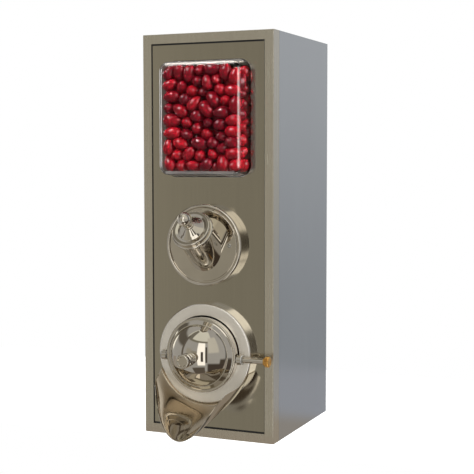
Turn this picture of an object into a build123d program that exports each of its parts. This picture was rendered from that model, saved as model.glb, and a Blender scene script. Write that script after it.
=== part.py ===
from build123d import *
import math
import os

os.makedirs("parts", exist_ok=True)

# Coffee bean dispenser, in millimetres. X is to the right, Y to the back, Z up.
# The origin is the centre of the cabinet's base. The cabinet's front plane is at y = front,
# and "proud" is how far something stands in front of that plane, so it is negative inside.

# Cabinet
cabinet_height = 600.0
cabinet_width = 210.0
cabinet_depth = 240.0
cabinet_sheet = 1.5
cabinet_edge = 1.0
back_bend = 2.5
base_sheet = 2.0
base_upturn = 14.0

# Clearances
weld_gap = 0.1
slip_gap = 0.3
thread_gap = 0.03
running_gap = 0.05
hole_gap = 0.2

# Working lengths: how far a cut runs past a face, a joined piece runs into its neighbour,
# and a stud runs past its nut
cut_past = 5.0
overlap = 1.0
stud_past = 1.0

# Front frame and panel
frame_border = 14.0
frame_return = 22.0
lip_width = 9.5
panel_recess = 2.0
panel_sheet = 1.5
panel_side_gap = 1.4
panel_end_gap = 2.4
seal_drop = 0.3
tongue_sheet = 1.2
tongue_reach = 14.0
tongue_root = 10.0
panel_stud_margin = 40.0
panel_stud_count = 4
stud_radius = 1.5
stud_nut_flat = 5.5
stud_nut_height = 2.2

# Wall fixing holes in the back
wall_hole_radius = 3.3
wall_hole_spacing_x = 150.0
wall_hole_spacing_z = 450.0

# Window bubble
window_top_drop = 125.5
window_width = 137.0
window_height = 170.0
window_corner = 17.0
window_proud = 31.0
window_taper = 5.2
window_edge = 10.0
window_wall = 3.0
window_rim = 9.0
window_rim_sheet = 2.0
window_opening_gap = 0.6
gasket_sheet = 1.2
clamp_sheet = 1.2
window_stud_inset = 4.5
window_stud_pitch = 60.0
window_stud_offset = 40.0

# Hopper
bin_front_gap = 12.0
bin_back_gap = 10.0
bin_side_gap = 5.0
bin_wall = 1.0
bin_window_margin = 2.0
bin_flange = 13.0
funnel_wall = 1.2
funnel_bottom_margin = 5.6
funnel_side_margin = 5.2
funnel_toe = 12.0
funnel_floor = 1.5
collar_height = 10.0
collar_margin = 4.5
collar_step = 3.0
rivet_radius = 2.0
rivet_head_radius = 3.5
rivet_head = 1.3
rivet_pitch = 60.0
cradle_offset = 50.0
cradle_sheet = 1.5
cradle_rest = 2.1
cradle_foot = 15.0
cradle_inset = 18.0
cradle_nut_inset = 22.0
cradle_stud_radius = 2.0
cradle_stud_height = 8.0
cradle_nut_flat = 7.0
cradle_nut_height = 3.2
fill_drop = 52.0
fill_gap = 0.6

# Top deck and filling lid
deck_recess = 10.0
deck_sheet = 1.5
deck_upturn = 9.0
deck_upturn_sheet = 1.2
mouth_side_margin = 27.0
mouth_front_margin = 42.0
mouth_back_margin = 40.0
upstand_height = 5.0
upstand_sheet = 1.2
deck_screw_inset = 9.0
deck_screw_pitch = 120.0
deck_screw_radius = 2.0
deck_screw_head = 3.5
deck_screw_head_height = 1.9
deck_screw_length = 9.1
lid_sheet = 1.2
lid_overhang = 5.0
lid_lift = 7.0
lid_skirt = 5.0
lid_tab_half_width = 15.0
lid_tab_reach = 10.0
lid_gasket_width = 7.0
hinge_radius = 3.0
hinge_pin_radius = 1.5
hinge_setback = 12.0
hinge_rise = 0.4
hinge_middle = 30.0
hinge_end = 50.0
hinge_foot = 12.0
hinge_pin_past = 1.0
hinge_screw_radius = 1.5
hinge_screw_head = 3.0
hinge_screw_head_height = 1.5
hinge_screw_length = 6.8

# Aroma port
aroma_centre = 289.3
aroma_radius = 60.2
aroma_disc_proud = 13.5
aroma_rim_proud = 15.0
aroma_rim_width = 5.2
aroma_groove_width = 2.2
aroma_groove_depth = 1.4
aroma_rim_round = 2.8
aroma_rim_inner_round = 1.8
aroma_disc_round = 0.6
aroma_screw_reach = 41.0
aroma_screw_rise = 0.7
aroma_screw_radius = 2.0
aroma_screw_head = 3.2
aroma_screw_head_height = 1.8
aroma_screw_head_round = 1.2
aroma_backing_radius = 56.0
aroma_backing_sheet = 1.6
tube_angle = 34.0
tube_drop = 1.3
tube_radius = 26.0
tube_wall = 1.2
tube_length = 48.5
tube_flare = 4.5
tube_flare_start = -24.0
tube_flare_end = 39.0
tube_cut = 60.0
mesh_place = -4.0
mesh_sheet = 0.8
mesh_hole_radius = 2.5
mesh_pitch = 7.5
mesh_rings = 3

# Aroma cap, along the tube's axis from the flange face
cap_skirt_wall = 1.8
cap_bead_width = 2.6
cap_bead_height = 5.6
cap_reach = 7.7
cap_slide_gap = 0.6
cap_bead_round = 1.8
cap_shoulder_rise = 3.7
cap_shoulder_round = 1.6
cap_ring_width = 4.9
cap_hollow_width = 8.4
cap_hollow_depth = 1.4
cap_crown_foot_width = 12.4
cap_crown_foot_rise = 0.9
cap_crown_radius = 7.5
cap_crown_rise = 6.9
cap_crown_round = 0.8
cap_sheet = 1.3
cap_screw_radius = 2.0
cap_screw_head = 4.0
cap_screw_head_height = 2.6
cap_screw_length = 13.0
cap_foot_radius = 7.2
cap_foot_height = 1.8
cap_waist_radius = 4.4
cap_waist_start = 3.4
cap_waist_end = 5.0
cap_collar_radius = 7.4
cap_collar_start = 5.4
cap_collar_end = 7.8
cap_neck_radius = 5.0
cap_neck_start = 8.4
cap_neck_end = 10.0
cap_ball_radius = 10.5
cap_ball_rise = 17.0

# Outlet port and gate
outlet_centre = 129.0
outlet_rim_width = 17.1
outlet_proud = 13.0
outlet_edge = 2.5
swing_gap = 1.0
seat_width = 9.4
seat_drop = 8.0
neck_wall = 1.4
neck_flange_width = 11.2
neck_flange_sheet = 2.0
outlet_stud_margin = 9.1
outlet_stud_radius = 2.0
port_stud_past = 0.4
gate_radius = 55.5
gate_wall = 1.5
gate_front_rise = 6.0
gate_bead = 3.5
gate_bead_round = 1.6
gate_bead_inner_round = 1.0
gate_step = 0.6
gate_step_width = 1.2
gate_lip_width = 1.2
gate_rear_gap = 0.4
dome_margin = 10.5
dome_base_rise = 6.0
dome_rise = 25.0
dome_wall = 1.2
dome_hem = 3.4
shaft_drop = 4.0
shaft_radius = 4.0
hub_wall = 2.0
hub_length = 12.0
hub_engagement = 11.0
grub_radius = 1.5
lug_gap = 2.0
lug_length = 6.0
lug_wall = 1.95
bush_wall = 1.5
bush_flange = 1.0
bush_lip = 1.35
bush_thrust = 1.3
clip_sheet = 0.8
clip_groove = 0.7
clip_rise = 2.0
lug_screw_radius = 1.5
lug_screw_pitch = 5.0
lug_screw_head = 2.8
lug_screw_sink = 2.5
pivot_past = 1.0
brass_knob_gap = 33.4
brass_knob_length = 9.5
brass_knob_radius = 7.8
brass_neck_radius = 5.6
brass_neck_length = 2.5
brass_neck_round = 0.8
brass_back_round = 1.4
brass_front_round = 2.2
brass_bore_depth = 6.0
shaft_engagement = 5.2
gate_knob_radius = 10.3
gate_knob_foot_radius = 8.6
gate_knob_foot_height = 2.2
gate_knob_waist_radius = 5.8
gate_knob_waist_height = 3.4
gate_knob_grip = 6.0
gate_knob_collar_radius = 9.5
gate_knob_collar_end = 12.0
gate_knob_groove_radius = 7.9
gate_knob_groove_start = 12.8
gate_knob_groove_end = 15.2
gate_knob_ring_start = 16.0
gate_knob_ring_end = 21.0
gate_knob_slot_radius = 8.5
gate_knob_slot_start = 21.8
gate_knob_slot_end = 23.4
gate_knob_cap_start = 24.2
gate_knob_length = 31.0
gate_knob_face_radius = 6.9
gate_knob_dish_radius = 6.1
gate_knob_dish_depth = 1.2
gate_knob_round = 0.6
gate_knob_end_round = 1.8
gate_screw_radius = 2.5
gate_screw_head = 4.5
gate_screw_head_height = 3.0
gate_screw_engagement = 18.0
gate_screw_bore = 19.0
gate_washer_radius = 7.0
gate_washer_sheet = 1.0

# Chute
chute_wall = 1.2
chute_fit = 0.1
chute_root = 10.0
chute_rim_height = 102.5
chute_screw_angles = (-18.0, 18.0)
chute_screw_radius = 1.6
chute_screw_head = 3.2
chute_screw_head_height = 1.6
chute_screw_length = 8.0
chute_screw_hole = 9.4
# Each section is how proud it stands, how high its lowest point is, and its radius.
chute_sections = ((32.0, 43.3, 74.0), (56.0, 33.7, 61.0), (78.0, 24.9, 46.5), (98.5, 16.8, 23.0))
# The rim, seen from the side: how proud and how high.
chute_rim = ((29.0, 92.0), (50.0, 85.0), (61.0, 80.5), (77.0, 64.5), (91.0, 41.0), (98.6, 17.0))

# Places that follow from the sizes above
front = -cabinet_depth / 2
back = cabinet_depth / 2
half_width = cabinet_width / 2
inner_half_width = half_width - cabinet_sheet
middle_height = cabinet_height / 2
window_centre = cabinet_height - window_top_drop
fill_level = cabinet_height - fill_drop
opening_width = cabinet_width - 2 * frame_border
opening_height = cabinet_height - 2 * frame_border
panel_face = front + panel_recess
panel_back = panel_face + panel_sheet
lip_front = panel_back + weld_gap
lip_back = lip_front + cabinet_sheet
wrap_front = front + frame_return + slip_gap
tongue_outer = inner_half_width - weld_gap
tongue_inner = tongue_outer - tongue_sheet
tongue_back = wrap_front + tongue_root
gasket_front = panel_back + weld_gap
rim_front = gasket_front + gasket_sheet + weld_gap
rim_back = rim_front + window_rim_sheet
clamp_front = rim_back + weld_gap
clamp_back = clamp_front + clamp_sheet
bin_front = front + bin_front_gap
bin_back = back - bin_back_gap
bin_half_width = half_width - bin_side_gap
deck_top = cabinet_height - deck_recess
deck_bottom = deck_top - deck_sheet
bin_top = deck_bottom - weld_gap
lid_bottom = deck_top + lid_lift
lid_top = lid_bottom + lid_sheet
hinge_z = lid_top + hinge_rise - hinge_radius
tube_cosine = math.cos(math.radians(tube_angle))
tube_sine = math.sin(math.radians(tube_angle))
tube_low = (
    aroma_centre - tube_drop
    - (aroma_disc_proud + bin_front_gap) * math.tan(math.radians(tube_angle))
    - tube_radius / tube_cosine)
funnel_top = tube_low - collar_height - collar_margin
cap_bottom = tube_length - cap_reach
cap_shoulder = tube_length + cap_shoulder_rise
cap_crown = cap_shoulder + cap_crown_rise
outlet_back = panel_recess - weld_gap
stud_nut_bore = stud_radius + thread_gap
bush_radius = shaft_radius + running_gap + bush_wall
bush_lip_radius = bush_radius + bush_lip
shaft_proud = outlet_proud + bush_lip_radius + weld_gap
gate_front = shaft_proud + gate_front_rise
dome_base = gate_front + dome_base_rise
gate_rear_reach = shaft_proud - outlet_proud - gate_rear_gap
outlet_bore = math.hypot(gate_radius, gate_rear_reach) + swing_gap
sweep_radius = math.hypot(gate_radius + shaft_drop, gate_rear_reach)
shaft_height = outlet_centre - shaft_drop
seat_bore = outlet_bore - seat_width
outlet_radius = outlet_bore + outlet_rim_width
neck_radius = outlet_bore + neck_wall
neck_flange_radius = neck_radius + neck_flange_width
outlet_stud_reach = outlet_bore + outlet_stud_margin
dome_base_radius = gate_radius - dome_margin
dome_pole = dome_base + dome_rise
gate_knob_end = dome_pole + gate_knob_length
lug_inner = gate_radius + lug_gap
lug_outer = lug_inner + lug_length
lug_radius = bush_radius + lug_wall
hub_radius = shaft_radius + hub_wall
brass_knob_start = lug_outer + weld_gap + bush_flange + brass_knob_gap
lug_screw_room = math.sqrt(bush_radius ** 2 - (lug_screw_pitch - lug_screw_radius) ** 2)
lug_screw_tip = shaft_proud - lug_screw_room - slip_gap
funnel_bottom = outlet_centre - outlet_bore - funnel_bottom_margin
funnel_half_width = neck_radius + funnel_side_margin
mouth_half_width = half_width - mouth_side_margin
mouth_front = front + mouth_front_margin
mouth_back = back - mouth_back_margin
hinge_y = mouth_back + hinge_setback
hinge_screw_y = hinge_y + (hinge_radius + hinge_foot) / 2


def depth(proud):
    """Y of a point that stands this far in front of the cabinet's front plane."""
    return front - proud


def block(x0, x1, y0, y1, z0, z1):
    """Box between these limits."""
    centre = Pos((x0 + x1) / 2, (y0 + y1) / 2, (z0 + z1) / 2)
    return centre * Box(abs(x1 - x0), abs(y1 - y0), abs(z1 - z0))


def rod(radius, start, end):
    """Round bar from one point to another."""
    start = Vector(*start)
    run = Vector(*end) - start
    plane = Plane(origin=start, z_dir=run.normalized())
    return plane * Cylinder(radius, run.length, align=(Align.CENTER, Align.CENTER, Align.MIN))


def hex_nut(flat, bore, start, end):
    """Hexagon nut between two points."""
    start = Vector(*start)
    run = Vector(*end) - start
    plane = Plane(origin=start, z_dir=run.normalized())
    body = extrude(RegularPolygon(flat / 2, 6, major_radius=False), run.length)
    return plane * body - rod(bore, start, start + run)


def wall_plate(outline, y0, y1, z=0.0):
    """Plate of an outline drawn in X and Z, between two depths."""
    plane = Plane(origin=(0, y1, z), x_dir=(1, 0, 0), z_dir=(0, -1, 0))
    return extrude(plane * outline, y1 - y0)


def side_plate(outline, x0, x1):
    """Plate of an outline drawn in Y and Z, between two places across the cabinet."""
    plane = Plane(origin=(x0, 0, 0), x_dir=(0, 1, 0), z_dir=(1, 0, 0))
    return extrude(plane * outline, x1 - x0)


def axis_plane(origin, direction):
    """Plane whose X is the radius and whose Y runs along a turned piece's axis."""
    direction = Vector(*direction)
    return Plane(origin=origin, x_dir=(1, 0, 0), z_dir=Vector(1, 0, 0).cross(direction))


def turned(corners, plane):
    """Turned solid from corners of radius, place along the axis and corner rounding."""
    points = [(radius, along) for radius, along, _ in corners]
    rounding = [corner for _, _, corner in corners]
    face = make_face(FilletPolyline(*points, radius=rounding, close=True))
    return revolve(plane * face, Axis(plane.origin, plane.y_dir))


def union(pieces):
    """One shape from a list of pieces."""
    total = pieces[0]
    for piece in pieces[1:]:
        total = total + piece
    return total


def save(name, shape):
    """Write one sub-part."""
    export_step(shape, f"parts/{name}.step")


def bar_y(radius, y0, y1, x, z):
    """Round bar along Y."""
    return rod(radius, (x, y0, z), (x, y1, z))


def port_plane(height):
    """Plane of a round piece on the front, measured proud of the cabinet's front plane."""
    return axis_plane((0, front, height), (0, -1, 0))


def tube_plane():
    """Plane along the aroma tube, from the flange face upward and forward."""
    start = (0, depth(aroma_disc_proud), aroma_centre - tube_drop)
    return axis_plane(start, (0, -tube_cosine, tube_sine))


def tube_point(along):
    """Point on the aroma tube's axis."""
    plane = tube_plane()
    return plane.origin + plane.y_dir * along


def tube_bar(radius, start, end):
    """Round bar along the aroma tube's axis."""
    return rod(radius, tube_point(start), tube_point(end))


# Cabinet


def front_frame():
    """Folded frame: face, outer return, inner return and the lip that carries the panel."""
    frame = block(-half_width, half_width, front, front + frame_return, 0, cabinet_height)
    frame = fillet(frame.faces().sort_by(Axis.Y)[0].edges(), cabinet_edge)
    inner_top = cabinet_height - cabinet_sheet
    hollow = block(
        -inner_half_width, inner_half_width, front + cabinet_sheet, front + frame_return,
        cabinet_sheet, inner_top)
    opening = wall_plate(Rectangle(opening_width, opening_height), front, lip_back, middle_height)
    fold_outline = Rectangle(opening_width + 2 * cabinet_sheet, opening_height + 2 * cabinet_sheet)
    fold = wall_plate(fold_outline, front + cabinet_sheet, lip_back, middle_height)
    lip_outline = Rectangle(
        opening_width + 2 * cabinet_sheet - 2 * lip_width,
        opening_height + 2 * cabinet_sheet - 2 * lip_width)
    lip_opening = wall_plate(lip_outline, lip_front, lip_back, middle_height)
    lip = wall_plate(fold_outline, lip_front, lip_back, middle_height) - lip_opening
    frame = frame - hollow + fold - opening + lip
    for x, z in panel_stud_places():
        frame = frame - bar_y(stud_radius + hole_gap, lip_front, lip_back, x, z)
    return frame


def cabinet_wrap():
    """Sides and back, with joggled tongues that go inside the frame's return."""
    shell = block(-half_width, half_width, wrap_front, back, 0, cabinet_height)
    corners = shell.edges().filter_by(Axis.Z).group_by(Axis.Y)[-1]
    shell = fillet(corners, back_bend)
    shell = shell - block(
        -inner_half_width, inner_half_width, wrap_front, back - cabinet_sheet, 0, cabinet_height)
    z0 = base_sheet + slip_gap
    z1 = deck_bottom - slip_gap
    for side in (-1, 1):
        tongue_front = wrap_front - tongue_reach
        shell = shell + block(
            side * tongue_inner, side * tongue_outer, tongue_front, tongue_back, z0, z1)
        shell = shell + block(
            side * tongue_inner, side * inner_half_width, wrap_front, tongue_back, z0, z1)
    for x in (-wall_hole_spacing_x / 2, wall_hole_spacing_x / 2):
        for z in (-wall_hole_spacing_z / 2, wall_hole_spacing_z / 2):
            shell = shell - bar_y(
                wall_hole_radius, back - cut_past, back + cut_past, x, middle_height + z)
    return shell


def base_plate():
    """Bottom pan, with upturned edges and the studs for the funnel cradles."""
    x = inner_half_width - weld_gap
    y = back - cabinet_sheet - weld_gap
    upturn_front = tongue_back + slip_gap
    pan = block(-x, x, wrap_front, y, 0, base_sheet)
    for side in (-1, 1):
        pan = pan + block(
            side * x, side * (x - cabinet_sheet), upturn_front, y - back_bend, 0, base_upturn)
    pan = pan + block(-x + back_bend, x - back_bend, y - cabinet_sheet, y, 0, base_upturn)
    for x, y in cradle_stud_places():
        pan = pan + rod(
            cradle_stud_radius, (x, y, base_sheet), (x, y, base_sheet + cradle_stud_height))
    return pan


# Front panel and window


def panel_stud_places():
    """Where the panel's studs pass through the frame's lip."""
    x = opening_width / 2 - lip_width / 2
    pitch = (cabinet_height - 2 * panel_stud_margin) / (panel_stud_count - 1)
    levels = [panel_stud_margin + step * pitch for step in range(panel_stud_count)]
    return [(side * x, z) for side in (-1, 1) for z in levels]


def window_stud_places():
    """Where the window's studs stand, round the bubble."""
    x = window_width / 2 + window_stud_inset
    z = window_height / 2 + window_stud_inset
    sides = [(side * x, step * window_stud_pitch) for side in (-1, 1) for step in (-1, 0, 1)]
    ends = [(side * window_stud_offset, end * z) for side in (-1, 1) for end in (-1, 1)]
    return [(across, window_centre + up) for across, up in sides + ends]


def window_outline(margin):
    """Rounded outline of the window, grown by a margin."""
    return RectangleRounded(
        window_width + 2 * margin, window_height + 2 * margin, window_corner + margin)


def bubble_form(inset):
    """Solid of the bubble's tapered shape, drawn in by an inset on every side."""
    plane = Plane(origin=(0, rim_back, window_centre), x_dir=(1, 0, 0), z_dir=(0, -1, 0))
    length = rim_back - depth(window_proud) - inset
    form = extrude(plane * window_outline(-inset), length, taper=window_taper)
    return fillet(form.faces().sort_by(Axis.Y)[0].edges(), window_edge - inset)


def window_bubble():
    """Clear bubble with a flat rim behind the panel."""
    rim = wall_plate(window_outline(window_rim), rim_front, rim_back, window_centre)
    bubble = rim + bubble_form(0) - bubble_form(window_wall)
    for x, z in window_stud_places():
        bubble = bubble - bar_y(stud_radius + hole_gap, rim_front, rim_back, x, z)
    return bubble


def window_frame_ring(inner_margin, y0, y1):
    """Flat ring round the window with its stud holes."""
    ring = wall_plate(window_outline(window_rim), y0, y1, window_centre)
    ring = ring - wall_plate(window_outline(inner_margin), y0, y1, window_centre)
    for x, z in window_stud_places():
        ring = ring - bar_y(stud_radius + hole_gap, y0, y1, x, z)
    return ring


def stud_nuts(places, start):
    """Small nuts on the panel's studs, from one depth back."""
    end = start + stud_nut_height
    nuts = []
    for x, z in places:
        nuts.append(hex_nut(stud_nut_flat, stud_nut_bore, (x, start, z), (x, end, z)))
    return union(nuts)


def window_nuts():
    """Nuts behind the window clamp."""
    return stud_nuts(window_stud_places(), clamp_back + weld_gap)


def panel_nuts():
    """Nuts behind the frame's lip."""
    return stud_nuts(panel_stud_places(), lip_back + weld_gap)


def front_panel():
    """Recessed panel with its openings and the studs welded to its back."""
    width = opening_width - 2 * panel_side_gap
    height = opening_height - 2 * panel_end_gap
    panel = wall_plate(Rectangle(width, height), panel_face, panel_back, middle_height)
    panel = panel - wall_plate(
        window_outline(window_opening_gap), panel_face, panel_back, window_centre)
    panel = panel - tube_bar(tube_radius + hole_gap, -tube_cut, tube_cut)
    panel = panel - bar_y(
        neck_radius + hole_gap, panel_face, panel_back, 0, outlet_centre)
    for x, z in aroma_screw_places():
        panel = panel - bar_y(aroma_screw_radius + hole_gap, panel_face, panel_back, x, z)
    for x, z in outlet_stud_places():
        panel = panel - bar_y(outlet_stud_radius + hole_gap, panel_face, panel_back, x, z)
    nut_end = clamp_back + weld_gap + stud_nut_height
    for x, z in window_stud_places():
        panel = panel + bar_y(stud_radius, panel_back, nut_end, x, z)
    lip_nut_end = lip_back + weld_gap + stud_nut_height + stud_past
    for x, z in panel_stud_places():
        panel = panel + bar_y(stud_radius, panel_back, lip_nut_end, x, z)
    return panel


def panel_seal():
    """Dark strip in the gap between the panel's edge and the frame, a little below the face."""
    gap = running_gap
    width = opening_width - 2 * gap
    height = opening_height - 2 * gap
    seal_front = panel_face + seal_drop
    strip = wall_plate(Rectangle(width, height), seal_front, panel_back, middle_height)
    inner_width = opening_width - 2 * (panel_side_gap - gap)
    inner_height = opening_height - 2 * (panel_end_gap - gap)
    return strip - wall_plate(
        Rectangle(inner_width, inner_height), seal_front, panel_back, middle_height)


# Hopper


def hopper_bin():
    """Upright sheet bin, open below into the funnel and above under the deck."""
    x = bin_half_width
    bin_shell = block(-x, x, bin_front, bin_back, funnel_top + weld_gap, bin_top)
    bin_shell = bin_shell - block(
        -x + bin_wall, x - bin_wall, bin_front + bin_wall, bin_back - bin_wall,
        funnel_top + weld_gap, bin_top)
    bin_shell = bin_shell - wall_plate(
        window_outline(bin_window_margin), bin_front, bin_front + bin_wall, window_centre)
    tube_hole = tube_bar(tube_radius - tube_wall, -tube_cut, 0)
    bin_shell = bin_shell - tube_hole
    for side in (-1, 1):
        bin_shell = bin_shell + block(
            side * (x - bin_wall), side * (x - bin_flange), bin_front + bin_wall,
            bin_back - bin_wall, bin_top - bin_wall, bin_top)
    for screw_x, screw_y in deck_screw_places():
        bin_shell = bin_shell - rod(
            deck_screw_radius + hole_gap, (screw_x, screw_y, bin_top - bin_wall),
            (screw_x, screw_y, bin_top))
    return bin_shell - rivet_holes()


def funnel_form(inset):
    """Solid of the funnel's tapered shape, drawn in by an inset."""
    sections = []
    for z, half, y0, y1 in (
        (funnel_bottom, funnel_half_width, bin_front, bin_front + funnel_toe),
        (funnel_top, bin_half_width, bin_front, bin_back),
    ):
        outline = Rectangle(2 * (half - inset), y1 - y0 - 2 * inset)
        sections.append(Pos(0, (y0 + y1) / 2, z) * outline)
    return loft(sections, ruled=True)


def funnel_underside(y):
    """Height of the funnel's sloping floor at a depth."""
    rise = funnel_top - funnel_bottom
    run = bin_back - bin_front - funnel_toe
    return funnel_bottom + (y - bin_front - funnel_toe) * rise / run


def hopper_funnel():
    """Funnel with a collar round the bin's lower end and the outlet in its front wall."""
    outer = bin_half_width + weld_gap + funnel_wall
    inner = bin_half_width + weld_gap
    y_front = bin_front - weld_gap
    y_back = bin_back + weld_gap
    collar = block(
        -outer, outer, y_front - funnel_wall, y_back + funnel_wall,
        funnel_top - collar_step, funnel_top + collar_height)
    socket = block(-inner, inner, y_front, y_back, funnel_top, funnel_top + collar_height)
    floor_top = funnel_bottom + funnel_floor
    hollow = funnel_form(funnel_wall) & block(
        -half_width, half_width, front, back, floor_top, funnel_top)
    funnel = funnel_form(0) + collar - socket - hollow
    outlet = bar_y(
        neck_radius + hole_gap, bin_front - cut_past,
        bin_front + funnel_wall + slip_gap, 0, outlet_centre)
    return funnel - outlet - rivet_holes()


def rivet_places():
    """Where the rivets join the funnel's collar to the bin."""
    z = funnel_top + collar_height / 2
    return [(side, step * rivet_pitch, z) for side in (-1, 1) for step in (-1, 0, 1)]


def rivet_holes():
    """Holes for the rivets, through the collar and the bin."""
    x0 = bin_half_width - cut_past
    x1 = bin_half_width + cut_past
    holes = []
    for side, y, z in rivet_places():
        holes.append(rod(rivet_radius + running_gap, (side * x0, y, z), (side * x1, y, z)))
    return union(holes)


def bin_rivets():
    """Rivets with a head on each side."""
    outside = bin_half_width + weld_gap + funnel_wall + weld_gap
    inside = bin_half_width - bin_wall - weld_gap
    rivets = []
    for side, y, z in rivet_places():
        shank = rod(rivet_radius, (side * inside, y, z), (side * outside, y, z))
        head = rod(
            rivet_head_radius, (side * outside, y, z), (side * (outside + rivet_head), y, z))
        tail = rod(
            rivet_head_radius, (side * inside, y, z), (side * (inside - rivet_head), y, z))
        rivets.append(shank + head + tail)
    return union(rivets)


def cradle_limits():
    """Front and back of the funnel cradles."""
    return bin_front + funnel_toe + cradle_inset, bin_back - cradle_inset / 2


def cradle_stud_places():
    """Where the base plate's studs hold the cradle feet."""
    y0, y1 = cradle_limits()
    x = cradle_offset - cradle_foot / 2
    return [(side * x, y) for side in (-1, 1) for y in (y0 + cradle_nut_inset, y1 - cradle_nut_inset)]


def funnel_cradles():
    """Two upright plates, cut to the funnel's slope, each with a foot and a sloping rest."""
    y0, y1 = cradle_limits()
    z0 = base_sheet + weld_gap
    gap = slip_gap
    z_front = funnel_underside(y0) - gap
    z_back = funnel_underside(y1) - gap
    web = make_face(Polyline((y0, z0), (y1, z0), (y1, z_back), (y0, z_front), close=True))
    rest = make_face(
        Polyline(
            (y0, z_front), (y1, z_back), (y1, z_back - cradle_rest), (y0, z_front - cradle_rest),
            close=True))
    cradles = []
    for side in (-1, 1):
        outer = side * (cradle_offset + cradle_sheet)
        inner = side * cradle_offset
        far = side * (cradle_offset - cradle_foot)
        plate = side_plate(web, min(outer, inner), max(outer, inner))
        plate = plate + side_plate(rest, min(inner, far), max(inner, far))
        plate = plate + block(far, inner, y0, y1, z0, z0 + cradle_sheet)
        for x, y in cradle_stud_places():
            plate = plate - rod(
                cradle_stud_radius + hole_gap, (x, y, z0 - weld_gap),
                (x, y, z0 + cradle_sheet + weld_gap))
        cradles.append(plate)
    return union(cradles)


def cradle_nuts():
    """Nuts on the cradle feet."""
    z = base_sheet + weld_gap + cradle_sheet + weld_gap
    nuts = []
    for x, y in cradle_stud_places():
        nuts.append(
            hex_nut(
                cradle_nut_flat, cradle_stud_radius + thread_gap, (x, y, z),
                (x, y, z + cradle_nut_height)))
    return union(nuts)


def bean_fill():
    """The load of beans as one body: bubble, bin and funnel up to the fill level."""
    x = bin_half_width - bin_wall - fill_gap
    bed = block(
        -x, x, bin_front + bin_wall + fill_gap, bin_back - bin_wall - fill_gap,
        funnel_top, fill_level)
    floor = funnel_bottom + funnel_floor + fill_gap
    slope = funnel_form(funnel_wall + fill_gap) & block(
        -half_width, half_width, front, back, floor, funnel_top)
    inset = window_wall + fill_gap
    throat = wall_plate(
        window_outline(-inset), rim_back - overlap, bin_front + bin_wall + fill_gap + overlap,
        window_centre)
    window = bubble_form(inset) + throat
    window = window & block(
        -half_width, half_width, depth(2 * window_proud), back, 0, fill_level)
    swing = sweep_radius + swing_gap + fill_gap
    centre = Pos(0, depth(shaft_proud), shaft_height)
    fill = bed + slope + window - centre * Sphere(swing)
    tail = bin_half_width - bin_wall - weld_gap - rivet_head - fill_gap
    for side, y, z in rivet_places():
        fill = fill - rod(rivet_head_radius + fill_gap, (side * tail, y, z), (side * half_width, y, z))
    return fill


# Top deck and lid


def deck_screw_places():
    """Where the deck is screwed to the bin's flanges."""
    x = bin_half_width - deck_screw_inset
    y = deck_screw_pitch / 2
    return [(side * x, end * y) for side in (-1, 1) for end in (-1, 1)]


def top_deck():
    """Recessed deck with an upstand round the filling mouth."""
    x = inner_half_width - weld_gap
    y = back - cabinet_sheet - weld_gap
    y_wide = tongue_back + slip_gap
    y_front = front + cabinet_sheet + weld_gap
    narrow = tongue_inner - weld_gap
    deck = block(-narrow, narrow, y_front, y, deck_bottom, deck_top)
    deck = deck + block(-x, x, y_wide, y, deck_bottom, deck_top)
    for side in (-1, 1):
        deck = deck + block(
            side * x, side * (x - deck_upturn_sheet), y_wide, y - back_bend,
            deck_bottom, deck_top + deck_upturn)
    deck = deck + block(
        -x + back_bend, x - back_bend, y - deck_upturn_sheet, y, deck_bottom,
        deck_top + deck_upturn)
    for side in (-1, 1):
        deck = deck - block(
            side * (x - back_bend), side * half_width, y - back_bend, back, deck_bottom, deck_top)
    outer = mouth_half_width + upstand_sheet
    deck = deck + block(
        -outer, outer, mouth_front - upstand_sheet, mouth_back + upstand_sheet,
        deck_bottom, deck_top + upstand_height)
    deck = deck - block(
        -mouth_half_width, mouth_half_width, mouth_front, mouth_back,
        deck_bottom, deck_top + upstand_height)
    for screw_x, screw_y in deck_screw_places():
        deck = deck - rod(
            deck_screw_radius + hole_gap, (screw_x, screw_y, deck_bottom),
            (screw_x, screw_y, deck_top))
    for screw_x in hinge_screw_places():
        deck = deck - rod(
            hinge_screw_radius + hole_gap, (screw_x, hinge_screw_y, deck_bottom),
            (screw_x, hinge_screw_y, deck_top))
    return deck


def deck_screws():
    """Pan-head screws through the deck."""
    screws = []
    for x, y in deck_screw_places():
        seat = deck_top + weld_gap
        shank = rod(deck_screw_radius, (x, y, seat - deck_screw_length), (x, y, seat))
        head = rod(deck_screw_head, (x, y, seat), (x, y, seat + deck_screw_head_height))
        screws.append(shank + head)
    return union(screws)


def deck_nuts():
    """Nuts under the bin's flanges."""
    z = bin_top - bin_wall - weld_gap
    nuts = []
    for x, y in deck_screw_places():
        nuts.append(
            hex_nut(
                cradle_nut_flat, deck_screw_radius + thread_gap, (x, y, z),
                (x, y, z - cradle_nut_height)))
    return union(nuts)


def hinge_screw_places():
    """Across positions of the hinge foot screws."""
    x = (hinge_middle + hinge_end) / 2
    return (-x, x)


def hinge_knuckles():
    """Fixed knuckles of the lid hinge, each on a foot screwed to the deck."""
    knuckles = []
    for side in (-1, 1):
        x0 = side * (hinge_middle + slip_gap)
        x1 = side * hinge_end
        barrel = rod(hinge_radius, (x0, hinge_y, hinge_z), (x1, hinge_y, hinge_z))
        stem = block(x0, x1, hinge_y, hinge_y + hinge_radius, deck_top + weld_gap, hinge_z)
        foot = block(
            x0, x1, hinge_y, hinge_y + hinge_radius + hinge_foot, deck_top + weld_gap,
            deck_top + weld_gap + lid_sheet)
        pin_hole = rod(
            hinge_pin_radius + thread_gap, (x0, hinge_y, hinge_z), (x1, hinge_y, hinge_z))
        knuckles.append(barrel + stem + foot - pin_hole)
    body = union(knuckles)
    for x in hinge_screw_places():
        body = body - rod(
            hinge_screw_radius + hole_gap, (x, hinge_screw_y, deck_top),
            (x, hinge_screw_y, deck_top + cut_past))
    return body


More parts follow.
